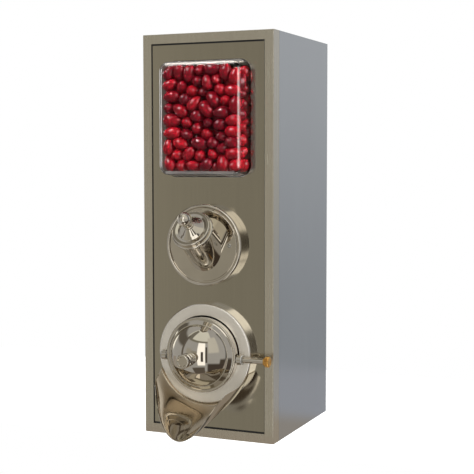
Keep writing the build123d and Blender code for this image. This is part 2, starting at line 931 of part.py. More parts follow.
def hinge_screws():
    """Screws in the hinge feet."""
    screws = []
    y = hinge_screw_y
    top = deck_top + weld_gap + lid_sheet + weld_gap
    for x in hinge_screw_places():
        shank = rod(hinge_screw_radius, (x, y, top - hinge_screw_length), (x, y, top))
        head = rod(hinge_screw_head, (x, y, top), (x, y, top + hinge_screw_head_height))
        screws.append(shank + head)
    return union(screws)


def lid_hinge_pin():
    """Pin through all three knuckles."""
    end = hinge_end + hinge_pin_past
    return rod(hinge_pin_radius, (-end, hinge_y, hinge_z), (end, hinge_y, hinge_z))


def top_lid():
    """Lid plate with a skirt on three sides, a lifting tab and the middle hinge knuckle."""
    x = mouth_half_width + upstand_sheet + lid_overhang
    y0 = mouth_front - upstand_sheet - lid_overhang
    y1 = mouth_back + upstand_sheet + lid_overhang
    lid = block(-x, x, y0, y1, lid_bottom, lid_top)
    skirt_bottom = lid_bottom - lid_skirt
    for side in (-1, 1):
        lid = lid + block(side * x, side * (x - lid_sheet), y0, y1, skirt_bottom, lid_top)
    lid = lid + block(-x, x, y0, y0 + lid_sheet, skirt_bottom, lid_top)
    lid = lid + block(
        -lid_tab_half_width, lid_tab_half_width, y0 - lid_tab_reach, y0 + lid_sheet,
        skirt_bottom, skirt_bottom + lid_sheet)
    lid = lid + block(-hinge_middle, hinge_middle, y1 - overlap, hinge_y, lid_bottom, lid_top)
    barrel = rod(
        hinge_radius, (-hinge_middle, hinge_y, hinge_z), (hinge_middle, hinge_y, hinge_z))
    bore = rod(
        hinge_pin_radius + running_gap, (-hinge_middle, hinge_y, hinge_z),
        (hinge_middle, hinge_y, hinge_z))
    return lid + barrel - bore


def lid_gasket():
    """Soft strip under the lid, over the upstand."""
    outer_x = mouth_half_width + lid_gasket_width / 2
    inner_x = mouth_half_width - lid_gasket_width / 2
    y0 = mouth_front - lid_gasket_width / 2
    y1 = mouth_back + lid_gasket_width / 2
    z0 = deck_top + upstand_height + slip_gap
    ring = block(-outer_x, outer_x, y0, y1, z0, lid_bottom)
    inner = lid_gasket_width
    return ring - block(-inner_x, inner_x, y0 + inner, y1 - inner, z0, lid_bottom)


# Aroma port


def aroma_screw_places():
    """Where the two screws hold the aroma flange."""
    return [(side * aroma_screw_reach, aroma_centre + aroma_screw_rise) for side in (-1, 1)]


def aroma_flange():
    """Round flange with a rolled rim, a groove and a flat disc, bored for the tube."""
    rim = aroma_radius - aroma_rim_width
    disc = rim - aroma_groove_width
    groove = aroma_disc_proud - aroma_groove_depth
    flange = turned(
        (
            (0, -outlet_back, 0),
            (aroma_radius, -outlet_back, 0),
            (aroma_radius, aroma_rim_proud, aroma_rim_round),
            (rim, aroma_rim_proud, aroma_rim_inner_round),
            (rim, groove, 0),
            (disc, groove, 0),
            (disc, aroma_disc_proud, aroma_disc_round),
            (0, aroma_disc_proud, 0),
        ),
        port_plane(aroma_centre),
    )
    flange = flange - tube_bar(tube_radius + weld_gap, -tube_cut, tube_cut)
    for x, z in aroma_screw_places():
        flange = flange - bar_y(
            aroma_screw_radius + hole_gap, depth(aroma_disc_proud), panel_face, x, z)
    return flange


def aroma_screws():
    """Pan-head screws of the aroma flange."""
    seat = aroma_disc_proud + weld_gap / 2
    top = seat + aroma_screw_head_height
    nut_end = panel_back + weld_gap + aroma_backing_sheet + weld_gap + cradle_nut_height
    screws = []
    for x, z in aroma_screw_places():
        plane = axis_plane((x, front, z), (0, -1, 0))
        head = turned(
            (
                (0, seat, 0),
                (aroma_screw_head, seat, 0),
                (aroma_screw_head, top, aroma_screw_head_round),
                (0, top, 0),
            ),
            plane,
        )
        screws.append(head + bar_y(aroma_screw_radius, depth(seat), nut_end, x, z))
    return union(screws)


def aroma_nuts():
    """Nuts behind the backing ring."""
    start = panel_back + weld_gap + aroma_backing_sheet + weld_gap
    nuts = []
    for x, z in aroma_screw_places():
        nuts.append(
            hex_nut(
                cradle_nut_flat, aroma_screw_radius + thread_gap, (x, start, z),
                (x, start + cradle_nut_height, z)))
    return union(nuts)


def aroma_backing_ring():
    """Stiffening ring behind the panel."""
    start = panel_back + weld_gap
    ring = bar_y(aroma_backing_radius, start, start + aroma_backing_sheet, 0, aroma_centre)
    ring = ring - tube_bar(tube_radius + 2 * hole_gap, -tube_cut, tube_cut)
    for x, z in aroma_screw_places():
        ring = ring - bar_y(aroma_screw_radius + hole_gap, start, start + aroma_backing_sheet, x, z)
    return ring


def aroma_tube():
    """Inclined tube with a flared root, open into the bin."""
    tube = tube_bar(tube_radius, -tube_cut, tube_length)
    plane = tube_plane()
    flare = turned(
        (
            (0, tube_flare_start, 0),
            (tube_radius + tube_flare, tube_flare_start, 0),
            (tube_radius, tube_flare_end, 0),
            (0, tube_flare_end, 0),
        ),
        plane,
    )
    face = depth(aroma_disc_proud + weld_gap / 2)
    flare = flare & block(
        -half_width, half_width, face - tube_cut, face, aroma_centre - tube_cut,
        aroma_centre + tube_cut)
    bore = tube_bar(tube_radius - tube_wall, -tube_cut - cut_past, tube_length + cut_past)
    tube = tube + flare - bore
    return tube - block(-half_width, half_width, bin_front - weld_gap, back, 0, cabinet_height)


def aroma_mesh():
    """Perforated disc across the tube, which keeps the beans in."""
    disc = tube_bar(tube_radius - tube_wall - weld_gap, mesh_place, mesh_place + mesh_sheet)
    plane = tube_plane()
    across = Vector(1, 0, 0)
    upward = plane.y_dir.cross(across)
    for ring in range(mesh_rings):
        holes = max(1, 6 * ring)
        for step in range(holes):
            angle = 2 * math.pi * step / holes
            offset = across * math.cos(angle) + upward * math.sin(angle)
            start = tube_point(mesh_place - cut_past) + offset * ring * mesh_pitch
            disc = disc - rod(mesh_hole_radius, start, start + plane.y_dir * 2 * cut_past)
    return disc


def aroma_cap():
    """Cap with a rolled rim, a hollow round its top and a raised crown."""
    inner = tube_radius + cap_slide_gap
    outer = inner + cap_skirt_wall
    bead = outer + cap_bead_width
    bead_top = cap_bottom + cap_bead_height
    ring_inner = outer - cap_ring_width
    hollow = cap_shoulder - cap_hollow_depth
    hollow_radius = outer - cap_hollow_width
    crown_foot = cap_shoulder + cap_crown_foot_rise
    crown_foot_radius = outer - cap_crown_foot_width
    bore = cap_screw_radius + weld_gap
    under = cap_sheet
    inset = cap_sheet / 2
    return turned(
        (
            (bore, cap_crown, 0),
            (cap_crown_radius, cap_crown, cap_crown_round),
            (crown_foot_radius, crown_foot, cap_crown_round),
            (hollow_radius, hollow, cap_crown_round),
            (ring_inner, cap_shoulder, cap_crown_round),
            (outer, cap_shoulder, cap_shoulder_round),
            (outer, bead_top, 0),
            (bead, bead_top, cap_bead_round),
            (bead, cap_bottom, cap_bead_round),
            (inner, cap_bottom, 0),
            (inner, cap_shoulder - under, 0),
            (ring_inner, cap_shoulder - under, 0),
            (hollow_radius, hollow - under, 0),
            (crown_foot_radius - inset, crown_foot - under, 0),
            (cap_crown_radius - inset, cap_crown - under, 0),
            (bore, cap_crown - under, 0),
        ),
        tube_plane(),
    )


def cap_seal():
    """Soft ring in the cap, over the tube's end."""
    start = tube_length + slip_gap
    end = cap_shoulder - cap_sheet - running_gap
    ring = tube_bar(tube_radius + cap_slide_gap - hole_gap, start, end)
    return ring - tube_bar(tube_radius - 2 * tube_wall, start, end)


def cap_knob():
    """Ball knob on a waisted stem."""
    foot = cap_crown + weld_gap / 2
    stem = turned(
        (
            (0, foot, 0),
            (cap_foot_radius, foot, 0),
            (cap_foot_radius, foot + cap_foot_height, cap_crown_round),
            (cap_waist_radius, foot + cap_waist_start, cap_crown_round),
            (cap_waist_radius, foot + cap_waist_end, 0),
            (cap_collar_radius, foot + cap_collar_start, 0),
            (cap_collar_radius, foot + cap_collar_end, cap_crown_round),
            (cap_neck_radius, foot + cap_neck_start, 0),
            (cap_neck_radius, foot + cap_neck_end, 0),
            (0, foot + cap_neck_end, 0),
        ),
        tube_plane(),
    )
    centre = tube_point(cap_crown + cap_ball_rise)
    ball = Pos(*centre) * Sphere(cap_ball_radius)
    return stem + ball - tube_bar(cap_screw_radius, foot, foot + cap_screw_length)


def cap_screw():
    """Screw from inside the cap into its knob."""
    seat = cap_crown - cap_sheet - weld_gap / 2
    head = tube_bar(cap_screw_head, seat - cap_screw_head_height, seat)
    return head + tube_bar(cap_screw_radius - thread_gap, seat, seat + cap_screw_length)


# Outlet port


def outlet_stud_places():
    """Where the outlet flange's studs stand."""
    reach = outlet_stud_reach * math.sqrt(0.5)
    return [(sx * reach, outlet_centre + sz * reach) for sx in (-1, 1) for sz in (-1, 1)]


def lug_screw_places():
    """Where each bearing lug is screwed from behind."""
    x = (lug_inner + lug_outer) / 2
    return [
        (side * x, shaft_height + step * lug_screw_pitch)
        for side in (-1, 1) for step in (-1, 1)
    ]


def outlet_flange():
    """Round flange, bored full above for the gate's swing and narrower below as its seat."""
    flange = turned(
        (
            (0, -outlet_back, 0),
            (outlet_radius, -outlet_back, 0),
            (outlet_radius, outlet_proud, outlet_edge),
            (0, outlet_proud, 0),
        ),
        port_plane(outlet_centre),
    )
    y0 = depth(outlet_proud) - cut_past
    y1 = panel_face + cut_past
    swing = bar_y(outlet_bore, y0, y1, 0, outlet_centre)
    low = shaft_height - seat_drop
    swing = swing & block(-half_width, half_width, y0, y1, low, cabinet_height)
    flange = flange - swing - bar_y(seat_bore, y0, y1, 0, outlet_centre)
    rear = depth(-outlet_back)
    nut_end = panel_back + weld_gap + neck_flange_sheet + weld_gap + cradle_nut_height
    for x, z in outlet_stud_places():
        flange = flange + bar_y(
            outlet_stud_radius, rear - overlap, nut_end + port_stud_past, x, z)
    for x, z in lug_screw_places():
        flange = flange - bar_y(
            lug_screw_radius + hole_gap, depth(outlet_proud), panel_face, x, z)
        flange = flange - bar_y(
            lug_screw_head + hole_gap, rear, rear - lug_screw_sink - weld_gap, x, z)
    for start, direction in chute_screw_lines():
        flange = flange - rod(
            chute_screw_radius + thread_gap, start, start + direction * chute_screw_hole)
    return flange


def outlet_neck():
    """Flanged ring from the outlet flange, through the panel, into the funnel."""
    start = depth(-outlet_back) + weld_gap / 2
    end = bin_front + funnel_wall
    neck = bar_y(neck_radius, start, end, 0, outlet_centre)
    flange_front = panel_back + weld_gap
    flange = bar_y(
        neck_flange_radius, flange_front, flange_front + neck_flange_sheet, 0, outlet_centre)
    neck = neck + flange - bar_y(outlet_bore, start, end, 0, outlet_centre)
    for x, z in outlet_stud_places():
        neck = neck - bar_y(
            outlet_stud_radius + hole_gap, flange_front, flange_front + neck_flange_sheet, x, z)
    return neck


def outlet_nuts():
    """Nuts behind the outlet neck's flange."""
    start = panel_back + weld_gap + neck_flange_sheet + weld_gap
    nuts = []
    for x, z in outlet_stud_places():
        nuts.append(
            hex_nut(
                cradle_nut_flat, outlet_stud_radius + thread_gap, (x, start, z),
                (x, start + cradle_nut_height, z)))
    return union(nuts)


def shaft_bar(radius, x0, x1):
    """Round bar on the gate's axis."""
    y = depth(shaft_proud)
    return rod(radius, (x0, y, shaft_height), (x1, y, shaft_height))


def shaft_lug(side):
    """Bearing lug on the outlet flange."""
    face = depth(outlet_proud + weld_gap / 2)
    lug = shaft_bar(lug_radius, side * lug_inner, side * lug_outer)
    lug = lug + block(
        side * lug_inner, side * lug_outer, depth(shaft_proud), face,
        shaft_height - lug_radius, shaft_height + lug_radius)
    lug = lug & block(
        side * lug_inner, side * lug_outer, depth(shaft_proud + lug_radius), face,
        shaft_height - lug_radius, shaft_height + lug_radius)
    lug = lug - shaft_bar(bush_radius + thread_gap, side * lug_inner, side * lug_outer)
    for x, z in lug_screw_places():
        lug = lug - bar_y(lug_screw_radius + thread_gap, depth(lug_screw_tip + hole_gap), face, x, z)
    return lug


def lug_screws():
    """Screws from behind the outlet flange into the lugs."""
    rear = depth(-outlet_back)
    screws = []
    for x, z in lug_screw_places():
        seat = rear - lug_screw_sink
        head = bar_y(lug_screw_head, rear - weld_gap, seat, x, z)
        screws.append(head + bar_y(lug_screw_radius, seat, depth(lug_screw_tip), x, z))
    return union(screws)


def shaft_bushes():
    """Flanged bushes in the lugs."""
    bushes = []
    for side in (-1, 1):
        sleeve = shaft_bar(
            bush_radius, side * (lug_inner - bush_thrust), side * (lug_outer + weld_gap))
        end = lug_outer + weld_gap + bush_flange
        lip = shaft_bar(bush_lip_radius, side * (lug_outer + weld_gap), side * end)
        bore = shaft_bar(
            shaft_radius + running_gap, side * (lug_inner - bush_thrust), side * end)
        bushes.append(sleeve + lip - bore)
    return union(bushes)


# Gate


def gate_ring():
    """Raised ring that carries the dome and turns with it."""
    rear = outlet_proud + gate_rear_gap
    inner = gate_radius - gate_wall
    lip = dome_base_radius + weld_gap
    bead_inner = gate_radius - gate_bead
    cone_foot = bead_inner - gate_step_width
    ring = turned(
        (
            (gate_radius, rear, 0),
            (gate_radius, gate_front, gate_bead_round),
            (bead_inner, gate_front, gate_bead_inner_round),
            (cone_foot, gate_front + gate_step, gate_step),
            (lip + gate_lip_width, dome_base, gate_step),
            (lip, dome_base, 0),
            (lip, dome_base - dome_hem, 0),
            (cone_foot - gate_wall, gate_front + gate_step - gate_wall, 0),
            (inner, gate_front - gate_wall, 0),
            (inner, rear, 0),
        ),
        port_plane(outlet_centre),
    )
    return ring - shaft_bar(shaft_radius + running_gap, -lug_outer, lug_outer)


def dome_sphere_radius():
    """Radius of the dome's outside, from its base and its height."""
    height = dome_pole - dome_base
    return (dome_base_radius ** 2 + height ** 2) / (2 * height)


def gate_dome():
    """Spun dome with a short hem that fits inside the ring."""
    radius = dome_sphere_radius()
    centre = dome_pole - radius
    inner = radius - dome_wall
    bore = gate_screw_radius + hole_gap
    hem_inner = math.sqrt(inner ** 2 - (dome_base - centre) ** 2)
    hem_end = dome_base - dome_hem
    outer_start = (bore, centre + math.sqrt(radius ** 2 - bore ** 2))
    inner_end = (bore, centre + math.sqrt(inner ** 2 - bore ** 2))
    outside = RadiusArc((dome_base_radius, dome_base), outer_start, -radius)
    inside = RadiusArc((hem_inner, dome_base), inner_end, -inner)
    hem = Polyline(
        (dome_base_radius, dome_base), (dome_base_radius, hem_end), (hem_inner, hem_end),
        (hem_inner, dome_base))
    rim = Line(outer_start, inner_end)
    profile = make_face([outside, inside, *hem.edges(), rim])
    plane = port_plane(outlet_centre)
    return revolve(plane * profile, Axis(plane.origin, plane.y_dir))


def gate_hubs():
    """Bosses inside the ring that hold the pivots."""
    inside = bar_y(
        gate_radius - gate_wall - weld_gap, depth(0), depth(gate_front - gate_wall - weld_gap),
        0, outlet_centre)
    hubs = []
    for side in (-1, 1):
        far = gate_radius - gate_wall
        hub = shaft_bar(hub_radius, side * (far - hub_length), side * far) & inside
        hub = hub - shaft_bar(shaft_radius + thread_gap, -lug_outer, lug_outer)
        x = side * (far - hub_length / 2)
        rear = shaft_proud - hub_radius - cut_past
        hubs.append(
            hub - bar_y(grub_radius + thread_gap, depth(rear), depth(shaft_proud), x, shaft_height))
    return union(hubs)


def grub_screws():
    """Grub screws that lock the pivots in the hubs."""
    screws = []
    for side in (-1, 1):
        x = side * (gate_radius - gate_wall - hub_length / 2)
        tip = depth(shaft_proud - shaft_radius - thread_gap)
        end = depth(shaft_proud - hub_radius)
        screws.append(bar_y(grub_radius, tip, end, x, shaft_height))
    return union(screws)


def clip_place():
    """Where the retaining clips sit, outside the bushes."""
    return lug_outer + weld_gap + bush_flange + slip_gap


def pivot_shaft(side, end):
    """Pivot from a hub out through its bush, grooved for the clip."""
    start = gate_radius - gate_wall - hub_engagement
    pivot = shaft_bar(shaft_radius, side * start, side * end)
    x0 = side * clip_place()
    x1 = side * (clip_place() + clip_sheet)
    groove = shaft_bar(shaft_radius, x0, x1) - shaft_bar(shaft_radius - clip_groove, x0, x1)
    return pivot - groove


def shaft_clips():
    """Retaining clips in the pivots' grooves."""
    start = clip_place() + running_gap
    end = clip_place() + clip_sheet - running_gap
    clips = []
    for side in (-1, 1):
        x0 = side * start
        x1 = side * end
        clip = shaft_bar(shaft_radius + clip_rise, x0, x1)
        clips.append(clip - shaft_bar(shaft_radius - clip_groove + thread_gap, x0, x1))
    return union(clips)


def shaft_knob():
    """Brass knob on the right end of the shaft."""
    plane = Plane(
        origin=(0, depth(shaft_proud), shaft_height), x_dir=(0, 0, 1), z_dir=(0, 1, 0))
    start = brass_knob_start
    grip = start + brass_neck_length
    end = start + brass_knob_length
    knob = make_face(
        FilletPolyline(
            (0, start), (brass_neck_radius, start), (brass_neck_radius, grip),
            (brass_knob_radius, grip), (brass_knob_radius, end), (0, end),
            radius=(0, brass_neck_round, 0, brass_back_round, brass_front_round, 0), close=True))
    knob = revolve(plane * knob, Axis(plane.origin, plane.y_dir))
    return knob - shaft_bar(shaft_radius + thread_gap, start, start + brass_bore_depth)


def gate_knob():
    """Turned knob in the middle of the dome, with a foot, a waist and two grooves."""
    foot = dome_pole + weld_gap / 2
    end = gate_knob_end
    small = gate_knob_round
    body = turned(
        (
            (0, foot, 0),
            (gate_knob_foot_radius, foot, 0),
            (gate_knob_foot_radius, foot + gate_knob_foot_height, small),
            (gate_knob_waist_radius, foot + gate_knob_waist_height, small),
            (gate_knob_waist_radius, foot + gate_knob_grip, 0),
            (gate_knob_collar_radius, foot + gate_knob_grip, small),
            (gate_knob_collar_radius, foot + gate_knob_collar_end, small),
            (gate_knob_groove_radius, foot + gate_knob_groove_start, small),
            (gate_knob_groove_radius, foot + gate_knob_groove_end, small),
            (gate_knob_radius, foot + gate_knob_ring_start, small),
            (gate_knob_radius, foot + gate_knob_ring_end, small),
            (gate_knob_slot_radius, foot + gate_knob_slot_start, 0),
            (gate_knob_slot_radius, foot + gate_knob_slot_end, 0),
            (gate_knob_radius, foot + gate_knob_cap_start, small),
            (gate_knob_radius, end, gate_knob_end_round),
            (gate_knob_face_radius, end, 0),
            (gate_knob_dish_radius, end - gate_knob_dish_depth, 0),
            (0, end - gate_knob_dish_depth, 0),
        ),
        port_plane(outlet_centre),
    )
    return body - bar_y(gate_screw_radius, depth(foot), depth(foot + gate_screw_bore), 0, outlet_centre)


def dome_underside():
    """How proud the dome's inside is where the washer's edge meets it."""
    radius = dome_sphere_radius()
    return dome_pole - radius + math.sqrt((radius - dome_wall) ** 2 - gate_washer_radius ** 2)


def gate_knob_washer():
    """Washer inside the dome."""
    top = dome_underside() - weld_gap
    under = top - gate_washer_sheet
    ring = bar_y(gate_washer_radius, depth(under), depth(top), 0, outlet_centre)
    return ring - bar_y(gate_screw_radius + hole_gap, depth(under), depth(top), 0, outlet_centre)


def gate_knob_screw():
    """Screw from inside the dome into its knob."""
    seat = dome_underside() - weld_gap - gate_washer_sheet - weld_gap / 2
    end = dome_pole + gate_screw_engagement
    head = bar_y(
        gate_screw_head, depth(seat - gate_screw_head_height), depth(seat), 0, outlet_centre)
    return head + bar_y(gate_screw_radius - thread_gap, depth(seat), depth(end), 0, outlet_centre)


# Chute


def chute_circle(proud, bottom, radius, inset):
    """One round section of the chute, drawn in by an inset."""
    plane = Plane(
        origin=(0, depth(proud), bottom + radius), x_dir=(1, 0, 0), z_dir=(0, -1, 0))
    return plane * Circle(radius - inset)


def chute_form(inset):
    """Solid of the chute's tapering shape, drawn in by an inset."""
    sleeve_radius = outlet_radius + chute_fit + chute_wall
    root = (chute_root, outlet_centre - sleeve_radius, sleeve_radius)
    sections = [chute_circle(*section, inset) for section in (root,) + chute_sections]
    return loft(sections)


def chute_cut():
    """Everything above the chute's rim, seen from the side."""
    rear = panel_face + cut_past
    rim = [(rear, chute_rim_height), (depth(outlet_proud), chute_rim_height)]
    rim = rim + [(depth(proud), height) for proud, height in chute_rim]
    rim_line = Spline(*rim[1:])
    far = depth(chute_rim[-1][0] + cut_past)
    top = outlet_centre + outlet_radius + cut_past
    edge = Polyline(rim[-1], (far, chute_rim[-1][1]), (far, top), (rim[0][0], top), rim[0], rim[1])
    return side_plate(make_face([rim_line, *edge.edges()]), -half_width, half_width)


def chute_screw_lines():
    """Outer end of each chute screw's hole and its direction toward the port's axis."""
    lines = []
    centre = Vector(0, depth((outlet_proud - panel_recess) / 2), outlet_centre)
    outside = outlet_radius + chute_fit + chute_wall
    for angle in chute_screw_angles:
        turn = math.radians(angle)
        direction = Vector(-math.sin(turn), 0, math.cos(turn))
        lines.append((centre - direction * outside, direction))
    return lines


def chute():
    """Open scoop of sheet round the lower half of the outlet flange."""
    outer = outlet_radius + chute_fit + chute_wall
    inner = outlet_radius + chute_fit
    y0 = depth(chute_root)
    y1 = panel_face - weld_gap
    sleeve = bar_y(outer, y0, y1, 0, outlet_centre) - bar_y(inner, y0, y1, 0, outlet_centre)
    scoop = sleeve + (chute_form(0) - chute_form(chute_wall)) - chute_cut()
    for start, direction in chute_screw_lines():
        scoop = scoop - rod(
            chute_screw_radius + hole_gap, start - direction * cut_past,
            start + direction * cut_past)
    return scoop


def chute_screws():
    """Screws from below, through the chute's sleeve into the flange's edge."""
    screws = []
    for start, direction in chute_screw_lines():
        seat = start - direction * weld_gap
        head = rod(chute_screw_head, seat - direction * chute_screw_head_height, seat)
        screws.append(head + rod(chute_screw_radius, seat, seat + direction * chute_screw_length))
    return union(screws)


save("front_frame", front_frame())
save("cabinet_wrap", cabinet_wrap())
save("base_plate", base_plate())
save("front_panel", front_panel())
save("panel_seal", panel_seal())
save("panel_nuts", panel_nuts())
save("window_bubble", window_bubble())
save("window_gasket", window_frame_ring(window_opening_gap, gasket_front, gasket_front + gasket_sheet))
save("window_clamp", window_frame_ring(-window_wall, clamp_front, clamp_back))
save("window_nuts", window_nuts())
save("hopper_bin", hopper_bin())
save("hopper_funnel", hopper_funnel())
save("bin_rivets", bin_rivets())
save("funnel_cradles", funnel_cradles())
save("cradle_nuts", cradle_nuts())
save("bean_fill", bean_fill())
save("top_deck", top_deck())
save("deck_screws", deck_screws())
save("deck_nuts", deck_nuts())
save("hinge_knuckles", hinge_knuckles())
save("hinge_screws", hinge_screws())
save("lid_hinge_pin", lid_hinge_pin())
save("top_lid", top_lid())
save("lid_gasket", lid_gasket())
save("aroma_flange", aroma_flange())
save("aroma_screws", aroma_screws())
save("aroma_nuts", aroma_nuts())
save("aroma_backing_ring", aroma_backing_ring())
save("aroma_tube", aroma_tube())
save("aroma_mesh", aroma_mesh())
save("aroma_cap", aroma_cap())
save("cap_seal", cap_seal())
save("cap_knob", cap_knob())
save("cap_screw", cap_screw())
save("outlet_flange", outlet_flange())
save("outlet_neck", outlet_neck())
save("outlet_nuts", outlet_nuts())
save("left_lug", shaft_lug(-1))
save("right_lug", shaft_lug(1))
save("lug_screws", lug_screws())
save("shaft_bushes", shaft_bushes())
save("gate_ring", gate_ring())
save("gate_dome", gate_dome())
save("gate_hubs", gate_hubs())
save("grub_screws", grub_screws())
save("left_pivot", pivot_shaft(-1, clip_place() + clip_sheet + pivot_past))
save("gate_shaft", pivot_shaft(1, brass_knob_start + shaft_engagement))
save("shaft_clips", shaft_clips())
save("shaft_knob", shaft_knob())
save("gate_knob", gate_knob())
save("gate_knob_washer", gate_knob_washer())
save("gate_knob_screw", gate_knob_screw())
save("chute", chute())
save("chute_screws", chute_screws())
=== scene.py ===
import math

import bpy
import numpy as np
from mathutils import Matrix, Vector


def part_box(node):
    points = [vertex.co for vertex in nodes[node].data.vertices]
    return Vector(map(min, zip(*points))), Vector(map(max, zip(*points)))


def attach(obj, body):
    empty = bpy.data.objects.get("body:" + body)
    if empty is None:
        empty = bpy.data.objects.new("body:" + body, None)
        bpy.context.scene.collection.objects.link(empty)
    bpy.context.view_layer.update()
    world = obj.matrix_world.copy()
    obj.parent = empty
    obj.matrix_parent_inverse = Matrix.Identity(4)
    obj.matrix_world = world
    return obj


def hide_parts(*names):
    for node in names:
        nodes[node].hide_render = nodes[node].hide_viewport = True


# Looks of a coffee bean dispenser: a steel cabinet with a window of glossy red coated beans,
# an aroma tube with a lift-off cap, and a domed gate over an open chute. Sizes are in metres.

mm = 0.001

# Camera
camera_place = (0.69204, -1.62026, 0.41742)
camera_turn = 23.243
camera_dip = 4.046
camera_roll = -0.073
camera_lens = 85.22
camera_sensor = 36.0

# Photo table
table_width = 1.5
table_front = -0.16
table_back = 0.45
# strength that lifts the table to white for the camera, and the tones that metal sees in it:
# behind the object, and in front of it
table_lift = 0.90
table_tone = (0.40, 0.405, 0.43)
table_front_tone = (0.37, 0.33, 0.285)
table_tone_change = 120 * mm

# Coated beans
bean_length = 27 * mm
bean_width = 19.4 * mm
bean_thickness = 18 * mm
bean_segments = 16
bean_rings = 10
bean_egg = -0.30
bean_lump = 0.9 * mm
lump_scale = 70.0
bean_sizes = (0.90, 1.10)
throat_bean_sizes = (0.90, 1.08)
bean_seed = 7

# How the beans are laid out: places on a jittered grid, with a lean that keeps mostly along the
# window, and then a fall in small steps with pushes that part them
bean_pitch = 19.8 * mm
bean_jitter = 0.34
bean_lean = (1, 0.2, 0.9)
fall_step = 0.2 * mm
fall_steps = 240
still_steps = 110
push_rounds = 4
push_share = 1.2
# radii of a bean's middle ball and end balls, as shares of its thickness
middle_ball = 0.52
end_ball = 0.46
# neighbours are the beans within this many lengths, and are looked up again after some steps
neighbour_lengths = 1.25
neighbour_steps = 8
least_distance = 1e-6

# Window bubble, as far as the beans need it
bubble_rim = 9 * mm
bubble_wall = 3 * mm
bubble_corner = 14 * mm
bubble_taper = math.tan(math.radians(5.2))
bubble_depth = 37.9 * mm
bed_gap = 1.3 * mm
window_bed_back = -84 * mm
top_bed_floor = 500 * mm
bed_heap = 6 * mm
bed_headroom = 30 * mm
bed_below_window = 8 * mm
bed_side_gap = 9 * mm

# Beans that wait behind the gate
gate_sweep = 61.5 * mm
throat_start_gap = 7 * mm
throat_bed_depth = 27 * mm
throat_bed_top = 158 * mm
throat_floor = 66 * mm
throat_half_width = 61 * mm
throat_steps = 130

# Brass knob
knob_ridges = 30
knob_ridge_depth = 0.55 * mm
knob_ridge_steps = 4
knob_bore = 4.05 * mm
knob_bore_depth = 0.62
# along the knob from its neck and out from its axis, as shares of its length and radius, and
# whether the ridges cut the place
knob_profile = (
    (0.00, 0.68, 0), (0.03, 0.72, 0), (0.24, 0.72, 0), (0.27, 0.80, 0), (0.28, 0.90, 0),
    (0.36, 1.00, 1), (0.58, 1.00, 1), (0.80, 1.00, 1), (0.90, 0.95, 1), (0.96, 0.84, 0),
    (1.00, 0.72, 0), (1.00, 0.62, 0), (0.95, 0.50, 0), (0.93, 0.30, 0), (0.96, 0.12, 0),
)

# Lamps: turn and rise round the object in degrees, distance, size and power
lamp_aim = (0, 0, 0.3)
lamps = (
    ("key", -30, 48, 2.2, (0.4, 0.4), 22),
    ("left", -104, 20, 2.4, (0.3, 0.6), 26),
    ("side", 72, 22, 2.4, (0.3, 0.6), 62),
)

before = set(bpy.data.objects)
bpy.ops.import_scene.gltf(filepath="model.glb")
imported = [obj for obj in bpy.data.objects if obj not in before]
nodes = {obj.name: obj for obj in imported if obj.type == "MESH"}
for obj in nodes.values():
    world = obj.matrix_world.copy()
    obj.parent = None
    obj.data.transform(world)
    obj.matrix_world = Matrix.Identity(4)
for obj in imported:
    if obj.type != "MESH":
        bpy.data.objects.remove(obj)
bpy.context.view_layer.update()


# Shader helpers


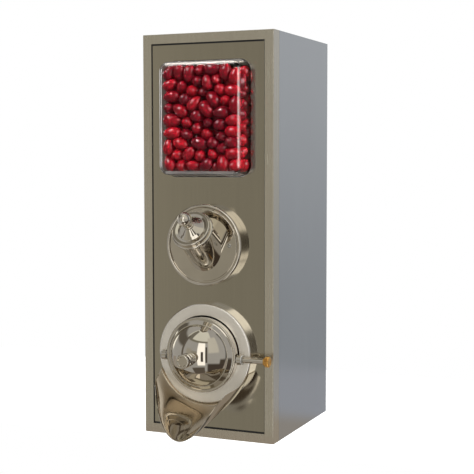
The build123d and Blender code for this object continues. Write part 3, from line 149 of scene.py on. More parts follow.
class Shader:
    """A material, or the world, with short calls for its nodes."""

    def __init__(self, owner):
        owner.use_nodes = True
        self.tree = owner.node_tree
        self.tree.nodes.clear()

    def node(self, kind, **values):
        """A node of this kind: fields that it has are set, and the rest are its inputs."""
        made = self.tree.nodes.new(kind)
        for name, value in values.items():
            if hasattr(made, name):
                setattr(made, name, value)
            else:
                self.feed(made.inputs[name.replace("_", " ")], value)
        return made

    def feed(self, socket, value):
        """Links an output to a socket, or sets the socket's own value."""
        if isinstance(value, bpy.types.NodeSocket):
            self.tree.links.new(value, socket)
        else:
            socket.default_value = value

    def maths(self, operation, *values):
        """The result of a maths node on these values."""
        made = self.tree.nodes.new("ShaderNodeMath")
        made.operation = operation
        for socket, value in zip(made.inputs, values):
            self.feed(socket, value)
        return made.outputs[0]

    def ramp(self, value, low, high, out_low, out_high, smooth=False):
        """A value carried from one range to another, and held at the ends."""
        made = self.tree.nodes.new("ShaderNodeMapRange")
        made.interpolation_type = "SMOOTHSTEP" if smooth else "LINEAR"
        for socket, part in zip(made.inputs, (value, low, high, out_low, out_high)):
            self.feed(socket, part)
        return made.outputs[0]

    def blend(self, share, first, second):
        """A colour between two colours."""
        made = self.tree.nodes.new("ShaderNodeMix")
        made.data_type = "RGBA"
        for name, value in (("Factor_Float", share), ("A_Color", first), ("B_Color", second)):
            socket = next(s for s in made.inputs if s.identifier == name)
            self.feed(socket, value)
        return made.outputs[2]

    def place(self, scale=(1, 1, 1)):
        """Object coordinates, scaled."""
        where = self.tree.nodes.new("ShaderNodeTexCoord")
        mapping = self.node("ShaderNodeMapping")
        self.feed(mapping.inputs["Scale"], scale)
        self.tree.links.new(where.outputs["Object"], mapping.inputs["Vector"])
        return mapping.outputs[0]

    def noise(self, scale, stretch=(1, 1, 1), detail=3.0):
        """Noise over the piece, stretched along an axis for a grain."""
        made = self.node("ShaderNodeTexNoise", Scale=scale, Detail=detail)
        self.tree.links.new(self.place(stretch), made.inputs["Vector"])
        return made.outputs[0]

    def bump(self, height, distance, strength=1.0, over=None):
        """A bump from a height, on top of another one where that is given."""
        made = self.node("ShaderNodeBump", Height=height, Distance=distance, Strength=strength)
        if over is not None:
            self.feed(made.inputs["Normal"], over)
        return made.outputs[0]

    def normal_parts(self):
        """The three parts of the normal in object coordinates."""
        parts = self.node("ShaderNodeSeparateXYZ")
        self.feed(parts.inputs[0], self.node("ShaderNodeTexCoord").outputs["Normal"])
        return parts.outputs

    def surface(self, shader):
        """Sends a shader to the output."""
        out = self.tree.nodes.new("ShaderNodeOutputMaterial")
        self.tree.links.new(shader, out.inputs["Surface"])


def colour(red, green, blue, level=1.0):
    """A colour with full alpha."""
    return (red * level, green * level, blue * level, 1.0)


def new_material(name):
    """An empty material and its shader helper."""
    made = bpy.data.materials.new(name)
    return made, Shader(made)


# Metals

# scales of the noise in them, and how deep the drawn grain is
smudge_scale = 38.0
dent_scale = 24.0
sway_scale = 3.2
grain_depth = 0.003 * mm


def sheet_steel(name, tone, roughness, grain=(420, 420, 5), cloud=7.0, sway=0.0):
    """Stainless sheet with a fine drawn grain, faint clouding and a little sway in the sheet."""
    made, s = new_material(name)
    fine = s.noise(1.0, grain, 2.0)
    clouds = s.noise(cloud, detail=4.0)
    tint = s.maths("MULTIPLY", s.maths("ADD", fine, clouds), 0.5)
    base = s.blend(s.ramp(tint, 0.36, 0.64, 0.0, 1.0), colour(*tone, 0.975), colour(*tone, 1.025))
    rough = s.ramp(tint, 0.34, 0.66, roughness * 0.92, roughness * 1.08)
    swayed = s.bump(s.noise(sway_scale, (1, 1, 0.6), 1.0), sway) if sway else None
    steel = s.node(
        "ShaderNodeBsdfPrincipled", Base_Color=base, Metallic=1.0, Roughness=rough,
        Normal=s.bump(fine, grain_depth, 0.15, swayed))
    s.surface(steel.outputs[0])
    return made


def polished_metal(name, tone, roughness, smudge, swirl=0.01 * mm, dents=0.0):
    """Polished metal with faint smudges and polishing lines, and shallow dents in thin sheet."""
    made, s = new_material(name)
    smudges = s.noise(smudge_scale, detail=5.0)
    lines = s.noise(1.0, (90, 90, 900), 2.0)
    base = s.blend(s.ramp(smudges, 0.4, 0.7, 0.0, 1.0), colour(*tone), colour(*tone, 0.93))
    rough = s.ramp(smudges, 0.42, 0.72, roughness, roughness + smudge)
    dented = s.bump(s.noise(dent_scale, detail=0.0), dents) if dents else None
    metal = s.node(
        "ShaderNodeBsdfPrincipled", Base_Color=base, Metallic=1.0, Roughness=rough,
        Normal=s.bump(lines, swirl, 0.4, dented))
    s.surface(metal.outputs[0])
    return made


def brushed_face(name, tone):
    """Chrome with a satin face, and polished where it turns away from the front."""
    made, s = new_material(name)
    out = s.maths("ABSOLUTE", s.normal_parts()[1])
    facing = s.ramp(out, 0.82, 0.97, 0.0, 1.0, smooth=True)
    smudges = s.noise(smudge_scale, detail=5.0)
    base = s.blend(s.ramp(smudges, 0.4, 0.7, 0.0, 1.0), colour(*tone), colour(*tone, 0.95))
    metal = s.node(
        "ShaderNodeBsdfPrincipled", Base_Color=base, Metallic=1.0,
        Roughness=s.ramp(facing, 0.0, 1.0, 0.07, 0.40))
    s.surface(metal.outputs[0])
    return made


def zinc_fastener(name):
    """Plated screws, nuts and clips with dull patches."""
    made, s = new_material(name)
    patches = s.noise(260.0, detail=4.0)
    worn = s.ramp(patches, 0.35, 0.7, 0.0, 1.0)
    base = s.blend(worn, colour(0.56, 0.55, 0.52), colour(0.42, 0.41, 0.38))
    metal = s.node(
        "ShaderNodeBsdfPrincipled", Base_Color=base, Metallic=1.0,
        Roughness=s.ramp(patches, 0.3, 0.7, 0.18, 0.36))
    s.surface(metal.outputs[0])
    return made


# Other materials


def moulded(name, tone, roughness, pebble):
    """Rubber or plastic with a fine moulded skin."""
    made, s = new_material(name)
    skin = s.noise(900.0, detail=2.0)
    patches = s.noise(30.0, detail=3.0)
    base = s.blend(patches, colour(*tone, 0.88), colour(*tone, 1.12))
    body = s.node(
        "ShaderNodeBsdfPrincipled", Base_Color=base,
        Roughness=s.ramp(patches, 0.3, 0.7, roughness - 0.06, roughness + 0.06),
        Normal=s.bump(skin, pebble, 0.5))
    s.surface(body.outputs[0])
    return made


def clear_acrylic(name):
    """Clear acrylic that lets the lamps through, with a painted highlight on its rounded edges.

    The painted highlight is a pale matt skin where the front turns into a side wall, more on
    the left than on the right, and faintly on the top and bottom walls.
    """
    made, s = new_material(name)
    haze = s.noise(14.0, detail=3.0)
    glass = s.node(
        "ShaderNodeBsdfPrincipled", Base_Color=colour(0.98, 0.99, 1.0), Roughness=0.01, IOR=1.15,
        Transmission_Weight=1.0, Normal=s.bump(haze, 0.12 * mm, 0.2))
    normal = s.normal_parts()
    across, out, up = (s.maths("ABSOLUTE", part) for part in normal)
    turned = s.maths("MULTIPLY", out, s.maths("MAXIMUM", across, up))
    # painted highlight: a pale matt skin mixed into the glass on the rounded edges, stronger on
    # the left
    share = s.ramp(normal[0], -0.5, 0.5, 0.55, 0.15)
    rim_highlight = s.ramp(turned, 0.43, 0.495, 0.0, share, smooth=True)
    roof_highlight = s.ramp(up, 0.80, 0.97, 0.0, 0.10, smooth=True)
    painted_highlight = s.node("ShaderNodeBsdfPrincipled", Base_Color=colour(0.93, 0.90, 0.85), Roughness=0.3)
    edged = s.node("ShaderNodeMixShader")
    s.feed(edged.inputs[0], s.maths("MAXIMUM", rim_highlight, roof_highlight))
    s.feed(edged.inputs[1], glass.outputs[0])
    s.feed(edged.inputs[2], painted_highlight.outputs[0])
    clear = s.node("ShaderNodeBsdfTransparent")
    rays = s.node("ShaderNodeLightPath")
    mixed = s.node("ShaderNodeMixShader")
    s.feed(mixed.inputs[0], rays.outputs["Is Shadow Ray"])
    s.feed(mixed.inputs[1], edged.outputs[0])
    s.feed(mixed.inputs[2], clear.outputs[0])
    s.surface(mixed.outputs[0])
    return made


def sugar_shell(name):
    """Glossy red coating, darker and lighter from bean to bean, with fine mottling."""
    made, s = new_material(name)
    shade = s.node("ShaderNodeAttribute", attribute_name="shade").outputs["Fac"]
    mottle = s.noise(420.0, detail=4.0)
    bean = s.blend(shade, colour(0.085, 0.001, 0.005), colour(0.25, 0.0022, 0.007))
    base = s.blend(s.ramp(mottle, 0.46, 0.75, 0.0, 0.45), bean, colour(0.05, 0.001, 0.003))
    skin = s.noise(160.0, detail=2.0)
    shell = s.node(
        "ShaderNodeBsdfPrincipled", Base_Color=base, Specular_IOR_Level=0.5,
        Roughness=s.ramp(mottle, 0.3, 0.7, 0.07, 0.14),
        Normal=s.bump(skin, 0.25 * mm, 0.5))
    s.surface(shell.outputs[0])
    return made


panel_steel = sheet_steel("panel_steel", (0.50, 0.465, 0.385), 0.11, sway=0.3 * mm)
frame_steel = sheet_steel("frame_steel", (0.68, 0.64, 0.55), 0.26, cloud=5.0)
side_steel = sheet_steel("side_steel", (0.58, 0.60, 0.615), 0.20, sway=0.8 * mm)
inner_steel = sheet_steel("inner_steel", (0.50, 0.49, 0.46), 0.34, (300, 300, 300), 12.0)
polished_chrome = polished_metal("polished_chrome", (0.70, 0.65, 0.57), 0.028, 0.02)
# the chute's chrome is darker and warmer than the polished chrome as painted shade; its dents are
# real
chute_chrome_painted_shade = polished_metal("chute_chrome_painted_shade", (0.60, 0.54, 0.45), 0.028, 0.02, dents=0.8 * mm)
satin_chrome = brushed_face("satin_chrome", (1.0, 0.96, 0.90))
turned_brass = polished_metal("turned_brass", (0.80, 0.45, 0.13), 0.12, 0.06, 0.04 * mm)
rivet_aluminium = polished_metal("rivet_aluminium", (0.62, 0.62, 0.61), 0.24, 0.12)
fasteners = zinc_fastener("fasteners")
soft_seal = moulded("soft_seal", (0.022, 0.022, 0.023), 0.58, 0.06 * mm)
bush_plastic = moulded("bush_plastic", (0.50, 0.48, 0.44), 0.42, 0.03 * mm)
acrylic = clear_acrylic("clear_acrylic")
beans = sugar_shell("beans")

finishes = {
    "panel_steel": panel_steel, "frame_steel": frame_steel, "side_steel": side_steel,
    "inner_steel": inner_steel, "polished_chrome": polished_chrome,
    "satin_chrome": satin_chrome, "turned_brass": turned_brass,
    "rivet_aluminium": rivet_aluminium, "fasteners": fasteners, "soft_seal": soft_seal,
    "bush_plastic": bush_plastic, "clear_acrylic": acrylic, "beans": beans,
}


def dress_nodes():
    """Gives each CAD node its slot's finish, and the chute dented chrome darkened as painted
    shade.
    """
    for node in nodes.values():
        for slot in node.material_slots:
            slot.material = finishes[slot.material.name.split(".")[0]]
    for slot in nodes["chute"].material_slots:
        slot.material = chute_chrome_painted_shade


# Beans


def settle(centres, lean, sizes, keep_inside, drops, falls_behind):
    """Lets beans fall and push each other apart, and returns their middles and their lean.

    A bean is three balls in a row that move as one. keep_inside moves balls back into their
    room, drops is the number of steps, and only beans behind the depth falls_behind fall.
    """
    middle = middle_ball * bean_thickness * sizes
    end = end_ball * bean_thickness * sizes
    reach = 0.5 * bean_length * sizes - end
    radii = np.stack([end, middle, end], 1)
    offsets = np.array([-1.0, 0.0, 1.0])
    near = bean_length * neighbour_lengths
    for step in range(drops):
        if step % neighbour_steps == 0:
            gaps = np.linalg.norm(centres[:, None] - centres[None], axis=2)
            first, second = np.nonzero(np.triu(gaps < near, 1))
        if step < drops - still_steps:
            centres[centres[:, 1] > falls_behind, 2] -= fall_step
        for _ in range(push_rounds):
            along = offsets[None, :, None] * reach[:, None, None]
            balls = centres[:, None] + lean[:, None] * along
            apart = balls[second][:, None, :] - balls[first][:, :, None]
            distance = np.linalg.norm(apart, axis=3)
            overlap = radii[first][:, :, None] + radii[second][:, None, :] - distance
            push = np.maximum(overlap, 0) * 0.5 / np.maximum(distance, least_distance)
            move = apart * push[..., None]
            shift = np.zeros_like(balls)
            count = np.zeros(radii.shape)
            for ball in range(3):
                np.add.at(shift, (second, ball), move[:, :, ball].sum(1))
                np.add.at(count, (second, ball), (overlap[:, :, ball] > 0).sum(1))
                np.add.at(shift, (first, ball), -move[:, ball].sum(1))
                np.add.at(count, (first, ball), (overlap[:, ball] > 0).sum(1))
            balls += push_share * shift / np.maximum(count, 1)[..., None]
            balls = keep_inside(balls.reshape(-1, 3), radii.reshape(-1)).reshape(balls.shape)
            centres = balls.mean(1)
            lean = balls[:, 2] - balls[:, 0]
            lean /= np.linalg.norm(lean, axis=1)[:, None]
    return centres, lean


def scatter(low, high, allowed, rng):
    """Random leaning beans on a jittered grid inside a box, where the room allows them."""
    axes = [np.arange(a + bean_pitch / 2, b, bean_pitch) for a, b in zip(low, high)]
    grid = np.stack(np.meshgrid(*axes, indexing="ij"), -1).reshape(-1, 3)
    grid = grid + rng.uniform(-bean_jitter, bean_jitter, grid.shape) * bean_pitch
    grid = grid[allowed(grid)]
    lean = rng.normal(size=grid.shape) * bean_lean
    lean /= np.linalg.norm(lean, axis=1)[:, None]
    return grid, lean


def window_bed(rng):
    """Beans in the window bubble, behind it in the bin, and over the top of the load."""
    low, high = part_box("window_bubble")
    bin_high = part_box("bean_fill")[1]
    centre = (low.z + high.z) / 2
    half_width = (high.x - low.x) / 2 - bubble_rim - bubble_wall
    half_height = (high.z - low.z) / 2 - bubble_rim - bubble_wall
    front = low.y + bubble_wall + bed_gap
    base = low.y + bubble_depth
    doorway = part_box("hopper_bin")[0].y
    level = bin_high.z
    floor = centre - half_height - bed_below_window

    def keep_inside(p, r):
        """Moves balls at p with radii r back into the bubble, or into the bin behind it."""
        x, y, z = p.T
        y = np.clip(y, front + r, bin_high.y - r)
        in_bubble = y < doorway + r
        pull = np.clip(base - y, 0, None) * bubble_taper
        wide = np.where(in_bubble, half_width - pull, bin_high.x) - bed_gap
        x = np.clip(x, r - wide, wide - r)
        tall = half_height - pull - bed_gap
        z = np.where(in_bubble, np.clip(z, centre - tall + r, centre + tall - r), z)
        past_x = abs(x) - (wide - bubble_corner)
        past_z = abs(z - centre) - (tall - bubble_corner)
        out = np.hypot(past_x, past_z)
        room = bubble_corner - r
        cut = in_bubble & (past_x > 0) & (past_z > 0) & (out > room)
        back = np.where(cut, 1 - room / np.maximum(out, least_distance), 0)
        x = x - np.sign(x) * past_x * back
        z = z - np.sign(z - centre) * past_z * back
        z = np.maximum(z, floor + r)
        low_step = (y > window_bed_back - r) & (z < top_bed_floor + r)
        forward = y - (window_bed_back - r)
        upward = top_bed_floor + r - z
        y = np.where(low_step & (forward < upward), window_bed_back - r, y)
        z = np.where(low_step & (forward >= upward), top_bed_floor + r, z)
        return np.stack([x, y, z], 1)

    def allowed(p):
        """Whether a bean may start at p."""
        x, y, z = p.T
        bubble = (y < doorway) & (abs(x) < half_width - bed_side_gap)
        column = (y >= doorway) & (y < window_bed_back)
        top = (y >= window_bed_back) & (z > top_bed_floor)
        return bubble | column | top

    start = (-bin_high.x, front, floor)
    stop = (bin_high.x, bin_high.y, level + bed_headroom)
    centres, lean = scatter(start, stop, allowed, rng)
    sizes = rng.uniform(*bean_sizes, len(centres))
    centres, lean = settle(centres, lean, sizes, keep_inside, fall_steps, doorway)
    kept = centres[:, 2] < level - bean_thickness / 2 + bed_heap
    return centres[kept], lean[kept], sizes[kept]


def throat_bed(rng):
    """Beans that lie in the funnel behind the gate, clear of its swing."""
    shaft_low, shaft_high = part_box("gate_shaft")
    pivot = np.array([0.0, (shaft_low.y + shaft_high.y) / 2, (shaft_low.z + shaft_high.z) / 2])
    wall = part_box("hopper_bin")[0].y + bed_gap

    def keep_inside(p, r):
        """Moves balls at p with radii r back between the gate's swing and the funnel."""
        out = p - pivot
        distance = np.linalg.norm(out, axis=1)
        held = np.clip(distance, gate_sweep + r, gate_sweep + throat_bed_depth)
        p = pivot + out * (held / distance)[:, None]
        x, y, z = p.T
        x = np.clip(x, r - throat_half_width, throat_half_width - r)
        y = np.maximum(y, wall + r)
        z = np.maximum(z, throat_floor + r)
        return np.stack([x, y, z], 1)

    def allowed(p):
        """Whether a bean may start at p."""
        distance = np.linalg.norm(p - pivot, axis=1)
        clear = distance > gate_sweep + throat_start_gap
        return clear & (distance < gate_sweep + throat_bed_depth)

    start = (-throat_half_width, wall, throat_floor)
    stop = (throat_half_width, wall + 2 * throat_half_width, throat_bed_top)
    centres, lean = scatter(start, stop, allowed, rng)
    sizes = rng.uniform(*throat_bean_sizes, len(centres))
    centres, lean = settle(centres, lean, sizes, keep_inside, throat_steps, wall)
    return centres, lean, sizes


def bean_tree():
    """Geometry nodes that lay one coated bean on every point."""
    tree = bpy.data.node_groups.new("coated_bean_bed", "GeometryNodeTree")
    face = tree.interface
    face.new_socket("Geometry", in_out="INPUT", socket_type="NodeSocketGeometry")
    for name in ("Length", "Width", "Thickness", "Egg", "Lump"):
        face.new_socket(name, in_out="INPUT", socket_type="NodeSocketFloat")
    for name in ("Segments", "Rings"):
        face.new_socket(name, in_out="INPUT", socket_type="NodeSocketInt")
    face.new_socket("Coating", in_out="INPUT", socket_type="NodeSocketMaterial")
    face.new_socket("Geometry", in_out="OUTPUT", socket_type="NodeSocketGeometry")
    made = tree.nodes.new
    link = tree.links.new
    given = made("NodeGroupInput").outputs
    # an egg that lies along X, in the bean's size
    ball = made("GeometryNodeMeshUVSphere")
    ball.inputs["Radius"].default_value = 0.5
    link(given["Segments"], ball.inputs["Segments"])
    link(given["Rings"], ball.inputs["Rings"])
    tip = made("GeometryNodeTransform")
    tip.inputs["Rotation"].default_value = (0, math.pi / 2, 0)
    link(ball.outputs["Mesh"], tip.inputs["Geometry"])
    where = made("GeometryNodeInputPosition").outputs[0]
    parts = made("ShaderNodeSeparateXYZ")
    link(where, parts.inputs[0])
    taper = made("ShaderNodeMath")
    taper.operation = "MULTIPLY_ADD"
    link(parts.outputs["X"], taper.inputs[0])
    link(given["Egg"], taper.inputs[1])
    taper.inputs[2].default_value = 1.0
    squeeze = made("ShaderNodeCombineXYZ")
    squeeze.inputs[0].default_value = 1.0
    link(taper.outputs[0], squeeze.inputs[1])
    link(taper.outputs[0], squeeze.inputs[2])
    egg_place = made("ShaderNodeVectorMath")
    egg_place.operation = "MULTIPLY"
    link(where, egg_place.inputs[0])
    link(squeeze.outputs[0], egg_place.inputs[1])
    egg = made("GeometryNodeSetPosition")
    link(tip.outputs[0], egg.inputs["Geometry"])
    link(egg_place.outputs[0], egg.inputs["Position"])
    size = made("ShaderNodeCombineXYZ")
    for place, name in enumerate(("Length", "Width", "Thickness")):
        link(given[name], size.inputs[place])
    shaped = made("GeometryNodeTransform")
    link(egg.outputs[0], shaped.inputs["Geometry"])
    link(size.outputs[0], shaped.inputs["Scale"])
    smooth = made("GeometryNodeSetShadeSmooth")
    link(shaped.outputs[0], smooth.inputs["Geometry"])
    # one on every point, with the point's turn and size
    turn = made("GeometryNodeInputNamedAttribute")
    turn.data_type = "FLOAT_VECTOR"
    turn.inputs["Name"].default_value = "turn"
    scale = made("GeometryNodeInputNamedAttribute")
    scale.data_type = "FLOAT"
    scale.inputs["Name"].default_value = "size"
    lay = made("GeometryNodeInstanceOnPoints")
    link(given["Geometry"], lay.inputs["Points"])
    link(smooth.outputs[0], lay.inputs["Instance"])
    link(turn.outputs["Attribute"], lay.inputs["Rotation"])
    link(scale.outputs["Attribute"], lay.inputs["Scale"])
    real = made("GeometryNodeRealizeInstances")
    link(lay.outputs[0], real.inputs[0])
    # low lumps in the coating
    ripple = made("ShaderNodeTexNoise")
    ripple.inputs["Scale"].default_value = lump_scale
    ripple.inputs["Detail"].default_value = 1.0
    centred = made("ShaderNodeMath")
    centred.operation = "SUBTRACT"
    link(ripple.outputs[0], centred.inputs[0])
    centred.inputs[1].default_value = 0.5
    swell = made("ShaderNodeMath")
    swell.operation = "MULTIPLY"
    link(centred.outputs[0], swell.inputs[0])
    link(given["Lump"], swell.inputs[1])
    outward = made("ShaderNodeVectorMath")
    outward.operation = "SCALE"
    link(made("GeometryNodeInputNormal").outputs[0], outward.inputs[0])
    link(swell.outputs[0], outward.inputs["Scale"])
    lumpy = made("GeometryNodeSetPosition")
    link(real.outputs[0], lumpy.inputs["Geometry"])
    link(outward.outputs[0], lumpy.inputs["Offset"])
    coat = made("GeometryNodeSetMaterial")
    link(lumpy.outputs[0], coat.inputs["Geometry"])
    link(given["Coating"], coat.inputs["Material"])
    link(coat.outputs[0], made("NodeGroupOutput").inputs[0])
    return tree


def bake(piece, tree, **values):
    """Runs a geometry nodes tree on a piece and keeps the result as its plain mesh."""
    run = piece.modifiers.new("make", "NODES")
    run.node_group = tree
    for item in tree.interface.items_tree:
        if item.in_out == "INPUT" and item.name in values:
            run[item.identifier] = values[item.name]
    bpy.context.view_layer.update()
    sight = bpy.context.evaluated_depsgraph_get()
    mesh = bpy.data.meshes.new_from_object(piece.evaluated_get(sight), depsgraph=sight)
    piece.modifiers.remove(run)
    piece.data = mesh


def new_piece(name, mesh):
    """An object with this mesh, in the scene."""
    piece = bpy.data.objects.new(name, mesh)
    bpy.context.scene.collection.objects.link(piece)
    return piece


def coated_beans():
    """All the beans that can be seen: in the window, on top of the load and behind the gate."""
    rng = np.random.default_rng(bean_seed)
    beds = [window_bed(rng), throat_bed(rng)]
    centres, lean, sizes = (np.concatenate(parts) for parts in zip(*beds))
    points = bpy.data.meshes.new("bean_places")
    points.from_pydata(centres.tolist(), [], [])
    turns = []
    for direction, roll in zip(lean, rng.uniform(0, math.tau, len(lean))):
        aim = Vector(direction).to_track_quat("X", "Z").to_matrix().to_4x4()
        turns.append((aim @ Matrix.Rotation(roll, 4, "X")).to_euler())
    turn = points.attributes.new("turn", "FLOAT_VECTOR", "POINT")
    turn.data.foreach_set("vector", np.array(turns, np.float32).ravel())
    size = points.attributes.new("size", "FLOAT", "POINT")
    size.data.foreach_set("value", sizes.astype(np.float32))
    shade = points.attributes.new("shade", "FLOAT", "POINT")
    shade.data.foreach_set("value", rng.uniform(0, 1, len(centres)).astype(np.float32))
    piece = new_piece("coated_beans", points)
    bake(
        piece, bean_tree(), Length=bean_length, Width=bean_width, Thickness=bean_thickness,
        Egg=bean_egg, Lump=bean_lump, Segments=bean_segments, Rings=bean_rings, Coating=beans)
    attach(piece, "cabinet")
    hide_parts("bean_fill")


def knurled_knob():
    """Brass knob on the end of the gate's shaft, ridged round its grip and dished at its end."""
    low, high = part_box("shaft_knob")
    length = high.x - low.x
    radius = (high.z - low.z) / 2
    steps = knob_ridges * knob_ridge_steps
    turns = [math.tau * step / steps for step in range(steps)]
    bore = knob_bore / radius
    rings = [(knob_bore_depth, bore, 0), (0.0, bore, 0), *knob_profile]
    points = [(low.x + knob_bore_depth * length, low.y + radius, low.z + radius)]
    for along, out, ridged in rings:
        for turn in turns:
            groove = knob_ridge_depth * ridged * (0.5 - 0.5 * math.cos(knob_ridges * turn))
            reach = out * radius - groove
            points.append((
                low.x + along * length, low.y + radius + reach * math.cos(turn),
                low.z + radius + reach * math.sin(turn)))
    points.append((low.x + knob_profile[-1][0] * length, low.y + radius, low.z + radius))
    faces = []
    # bands between the rings, and then a fan at each end
    for ring in range(len(rings) - 1):
        start = 1 + ring * steps
        for step in range(steps):
            after = (step + 1) % steps
            onward, onward_after = start + steps + step, start + steps + after
            faces.append((start + step, onward, onward_after, start + after))
    last = len(points) - 1
    for step in range(steps):
        after = (step + 1) % steps
        faces.append((0, 1 + step, 1 + after))
        faces.append((last, last - steps + after, last - steps + step))
    mesh = bpy.data.meshes.new("knurled_knob")
    mesh.from_pydata(points, [], faces)
    mesh.materials.append(turned_brass)
    piece = new_piece("knurled_knob", mesh)
    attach(piece, "gate")
    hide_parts("shaft_knob")


# Studio


def photo_table():
    """White table top that the dispenser stands on. The metal sees it in the room's tone."""
    made, s = new_material("white_table")
    soft = s.noise(20.0, detail=3.0)
    paint = s.blend(soft, colour(0.80, 0.80, 0.80), colour(0.82, 0.82, 0.82))
    matt = s.node("ShaderNodeBsdfDiffuse", Color=paint)
    rays = s.node("ShaderNodeLightPath")
    seen = s.maths("MAXIMUM", rays.outputs["Is Camera Ray"], rays.outputs["Is Transmission Ray"])
    strength = s.maths("MULTIPLY", seen, table_lift)
    lift = s.node("ShaderNodeEmission", Color=colour(1, 1, 1), Strength=strength)
    both = s.node("ShaderNodeAddShader")
    s.feed(both.inputs[0], matt.outputs[0])
    s.feed(both.inputs[1], lift.outputs[0])
    parts = s.node("ShaderNodeSeparateXYZ")
    s.feed(parts.inputs[0], s.place())
    behind = s.ramp(parts.outputs[1], 0.0, table_tone_change, 0.0, 1.0, smooth=True)
    tone = s.blend(behind, colour(*table_front_tone), colour(*table_tone))
    mirrored = s.node("ShaderNodeEmission", Color=tone, Strength=1.0)
    choice = s.node("ShaderNodeMixShader")
    s.feed(choice.inputs[0], rays.outputs["Is Glossy Ray"])
    s.feed(choice.inputs[1], both.outputs[0])
    s.feed(choice.inputs[2], mirrored.outputs[0])
    s.surface(choice.outputs[0])
    mesh = bpy.data.meshes.new("photo_table")
    x = table_width / 2
    corners = [(-x, table_front, 0), (x, table_front, 0), (x, table_back, 0), (-x, table_back, 0)]
    mesh.from_pydata(corners, [], [(0, 1, 2, 3)])
    mesh.materials.append(made)
    new_piece("photo_table", mesh)


# Level of the daylight on the object's matt surfaces
daylight = (0.28, 0.28, 0.29)

# Studio cards, as the metal sees them: middle and half width round the object, middle and half
# height, all in degrees, soft edge in degrees, and colour. 0 is straight in front, + to the right.
room_tone = (0.44, 0.435, 0.42)
studio_cards = (
    ("back wall right", 160, 62, 0, 60, 14, (0.34, 0.352, 0.368)),
    ("back wall top", 160, 62, 22, 14, 18, (0.52, 0.53, 0.545)),
    ("dark floor behind", 178, 40, -32, 12, 5, (0.07, 0.06, 0.05)),
    ("ceiling", -12, 52, 60, 14, 9, (0.80, 0.79, 0.70)),
    ("ceiling edge", -12, 42, 42, 1.5, 3, (0.24, 0.225, 0.18)),
    ("window behind", -160, 17, 8, 34, 7, (1.6, 1.56, 1.45)),
    ("dark skirting", 106, 34, -26, 10, 6, (0.08, 0.065, 0.05)),
    ("dark shelf", -92, 30, 29, 8, 9, (0.13, 0.115, 0.095)),
    ("dark beam", -52, 9, 56, 13, 5, (0.22, 0.205, 0.17)),
    ("door post", -60, 2.5, 6, 40, 2.5, (0.15, 0.13, 0.11)),
    ("left window", -124, 12, 7, 6, 5, (1.3, 1.27, 1.15)),
    ("left low window", -124, 28, -50, 12, 8, (1.4, 1.36, 1.22)),
    ("dark doorway", -20, 12, -4, 14, 5, (0.325, 0.305, 0.255)),
    ("doorway jamb", -36, 4, -4, 16, 10, (0.41, 0.385, 0.325)),
    ("tall window", 7, 11, 4, 33, 4, (1.45, 1.42, 1.35)),
    ("window bar", 10, 2.5, -4, 14, 3, (0.08, 0.07, 0.06)),
    ("window jamb", 24, 2.5, 2, 24, 1.5, (0.10, 0.09, 0.075)),
    ("pale wall", 48, 14, 32, 20, 8, (0.66, 0.64, 0.57)),
    ("dark corner", 96, 7, 0, 60, 4, (0.12, 0.115, 0.11)),
    ("dark floor right", 78, 46, -54, 24, 8, (0.07, 0.055, 0.045)),
    ("brown floor", -20, 46, -70, 14, 9, (0.27, 0.22, 0.18)),
    ("dark floor front", -6, 22, -48, 8, 5, (0.12, 0.10, 0.08)),
    ("bright floor", 34, 12, -68, 9, 6, (1.2, 1.17, 1.05)),
)
# The same room as the beans see it out of the window: darker, with two soft lights
bean_room_tone = (0.16, 0.14, 0.14)
bean_cards = (
    ("soft light", -24, 15, 42, 13, 5, (7.0, 6.5, 6.4)),
    ("side light", 74, 12, 18, 22, 5, (4.5, 4.2, 4.1)),
)


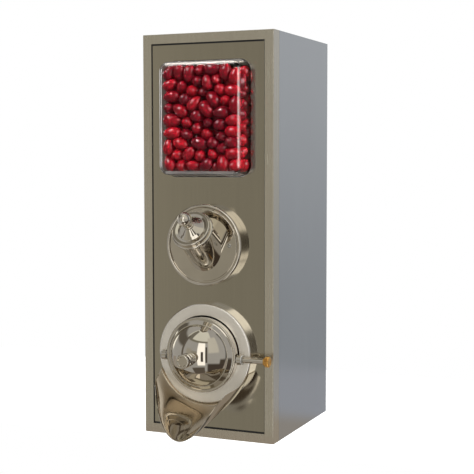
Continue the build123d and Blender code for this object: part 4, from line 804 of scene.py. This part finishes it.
def studio_world():
    """White background, and for the metal a room with windows, a ceiling and dark corners."""
    world = bpy.data.worlds.new("studio")
    bpy.context.scene.world = world
    s = Shader(world)
    where = s.tree.nodes.new("ShaderNodeTexCoord").outputs["Generated"]
    parts = s.node("ShaderNodeSeparateXYZ")
    s.feed(parts.inputs[0], where)
    x, y, z = parts.outputs
    degrees = 180 / math.pi
    turn = s.maths("MULTIPLY", s.maths("ARCTAN2", x, s.maths("MULTIPLY", y, -1.0)), degrees)
    rise = s.maths("MULTIPLY", s.maths("ARCSINE", z), degrees)

    def room(tone, cards):
        """A room of one tone with its cards, as a colour for each direction."""
        seen = colour(*tone)
        for _, middle, half, height, half_height, edge, card_tone in cards:
            off = s.maths("ABSOLUTE", s.maths("SUBTRACT", turn, middle))
            off = s.maths("MINIMUM", off, s.maths("SUBTRACT", 360.0, off))
            across = s.ramp(off, half, half + edge, 1.0, 0.0, smooth=True)
            up = s.maths("ABSOLUTE", s.maths("SUBTRACT", rise, height))
            along = s.ramp(up, half_height, half_height + edge, 1.0, 0.0, smooth=True)
            seen = s.blend(s.maths("MULTIPLY", across, along), seen, colour(*card_tone))
        return seen

    # The metal sees the studio, the beans behind the acrylic see theirs, matt surfaces get plain
    # daylight, and the camera sees white, also straight through the acrylic.
    rays = s.node("ShaderNodeLightPath")
    inside = s.maths("MINIMUM", rays.outputs["Transmission Depth"], 1.0)
    seen = s.blend(inside, room(room_tone, studio_cards), room(bean_room_tone, bean_cards))
    mirrored = s.maths("MINIMUM", rays.outputs["Glossy Depth"], 1.0)
    level = s.blend(mirrored, colour(*daylight), seen)
    bounces = s.maths("ADD", rays.outputs["Glossy Depth"], rays.outputs["Diffuse Depth"])
    direct = s.maths("SUBTRACT", 1.0, s.maths("MINIMUM", bounces, 1.0))
    through = s.maths("MULTIPLY", rays.outputs["Is Transmission Ray"], direct)
    clear = s.maths("MAXIMUM", rays.outputs["Is Camera Ray"], through)
    level = s.blend(clear, level, colour(1, 1, 1))
    light = s.node("ShaderNodeBackground", Color=level, Strength=1.0)
    out = s.tree.nodes.new("ShaderNodeOutputWorld")
    s.tree.links.new(light.outputs[0], out.inputs["Surface"])


def area_lamp(name, turn, rise, distance, size, power):
    """Soft lamp at a place round the object, aimed at its middle and not mirrored in metal."""
    lamp = bpy.data.lights.new(name, "AREA")
    lamp.shape = "RECTANGLE"
    lamp.size, lamp.size_y = size
    lamp.energy = power
    holder = bpy.data.objects.new(name, lamp)
    a, e = math.radians(turn), math.radians(rise)
    way = Vector((math.sin(a) * math.cos(e), -math.cos(a) * math.cos(e), math.sin(e)))
    holder.location = Vector(lamp_aim) + way * distance
    holder.rotation_euler = way.to_track_quat("Z", "Y").to_euler()
    holder.visible_glossy = False
    bpy.context.scene.collection.objects.link(holder)


def main_camera():
    """Camera at the photograph's viewing angle."""
    lens = bpy.data.cameras.new("camera")
    lens.lens = camera_lens
    lens.sensor_width = camera_sensor
    lens.sensor_fit = "HORIZONTAL"
    holder = bpy.data.objects.new("camera", lens)
    turn = Matrix.Rotation(math.radians(camera_turn), 4, "Z")
    dip = Matrix.Rotation(math.radians(90 - camera_dip), 4, "X")
    roll = Matrix.Rotation(math.radians(camera_roll), 4, "Z")
    holder.matrix_world = Matrix.Translation(camera_place) @ turn @ dip @ roll
    bpy.context.scene.collection.objects.link(holder)
    bpy.context.scene.camera = holder


bpy.context.scene.view_settings.view_transform = "Standard"
dress_nodes()
coated_beans()
knurled_knob()
photo_table()
studio_world()
for lamp_values in lamps:
    area_lamp(*lamp_values)
main_camera()
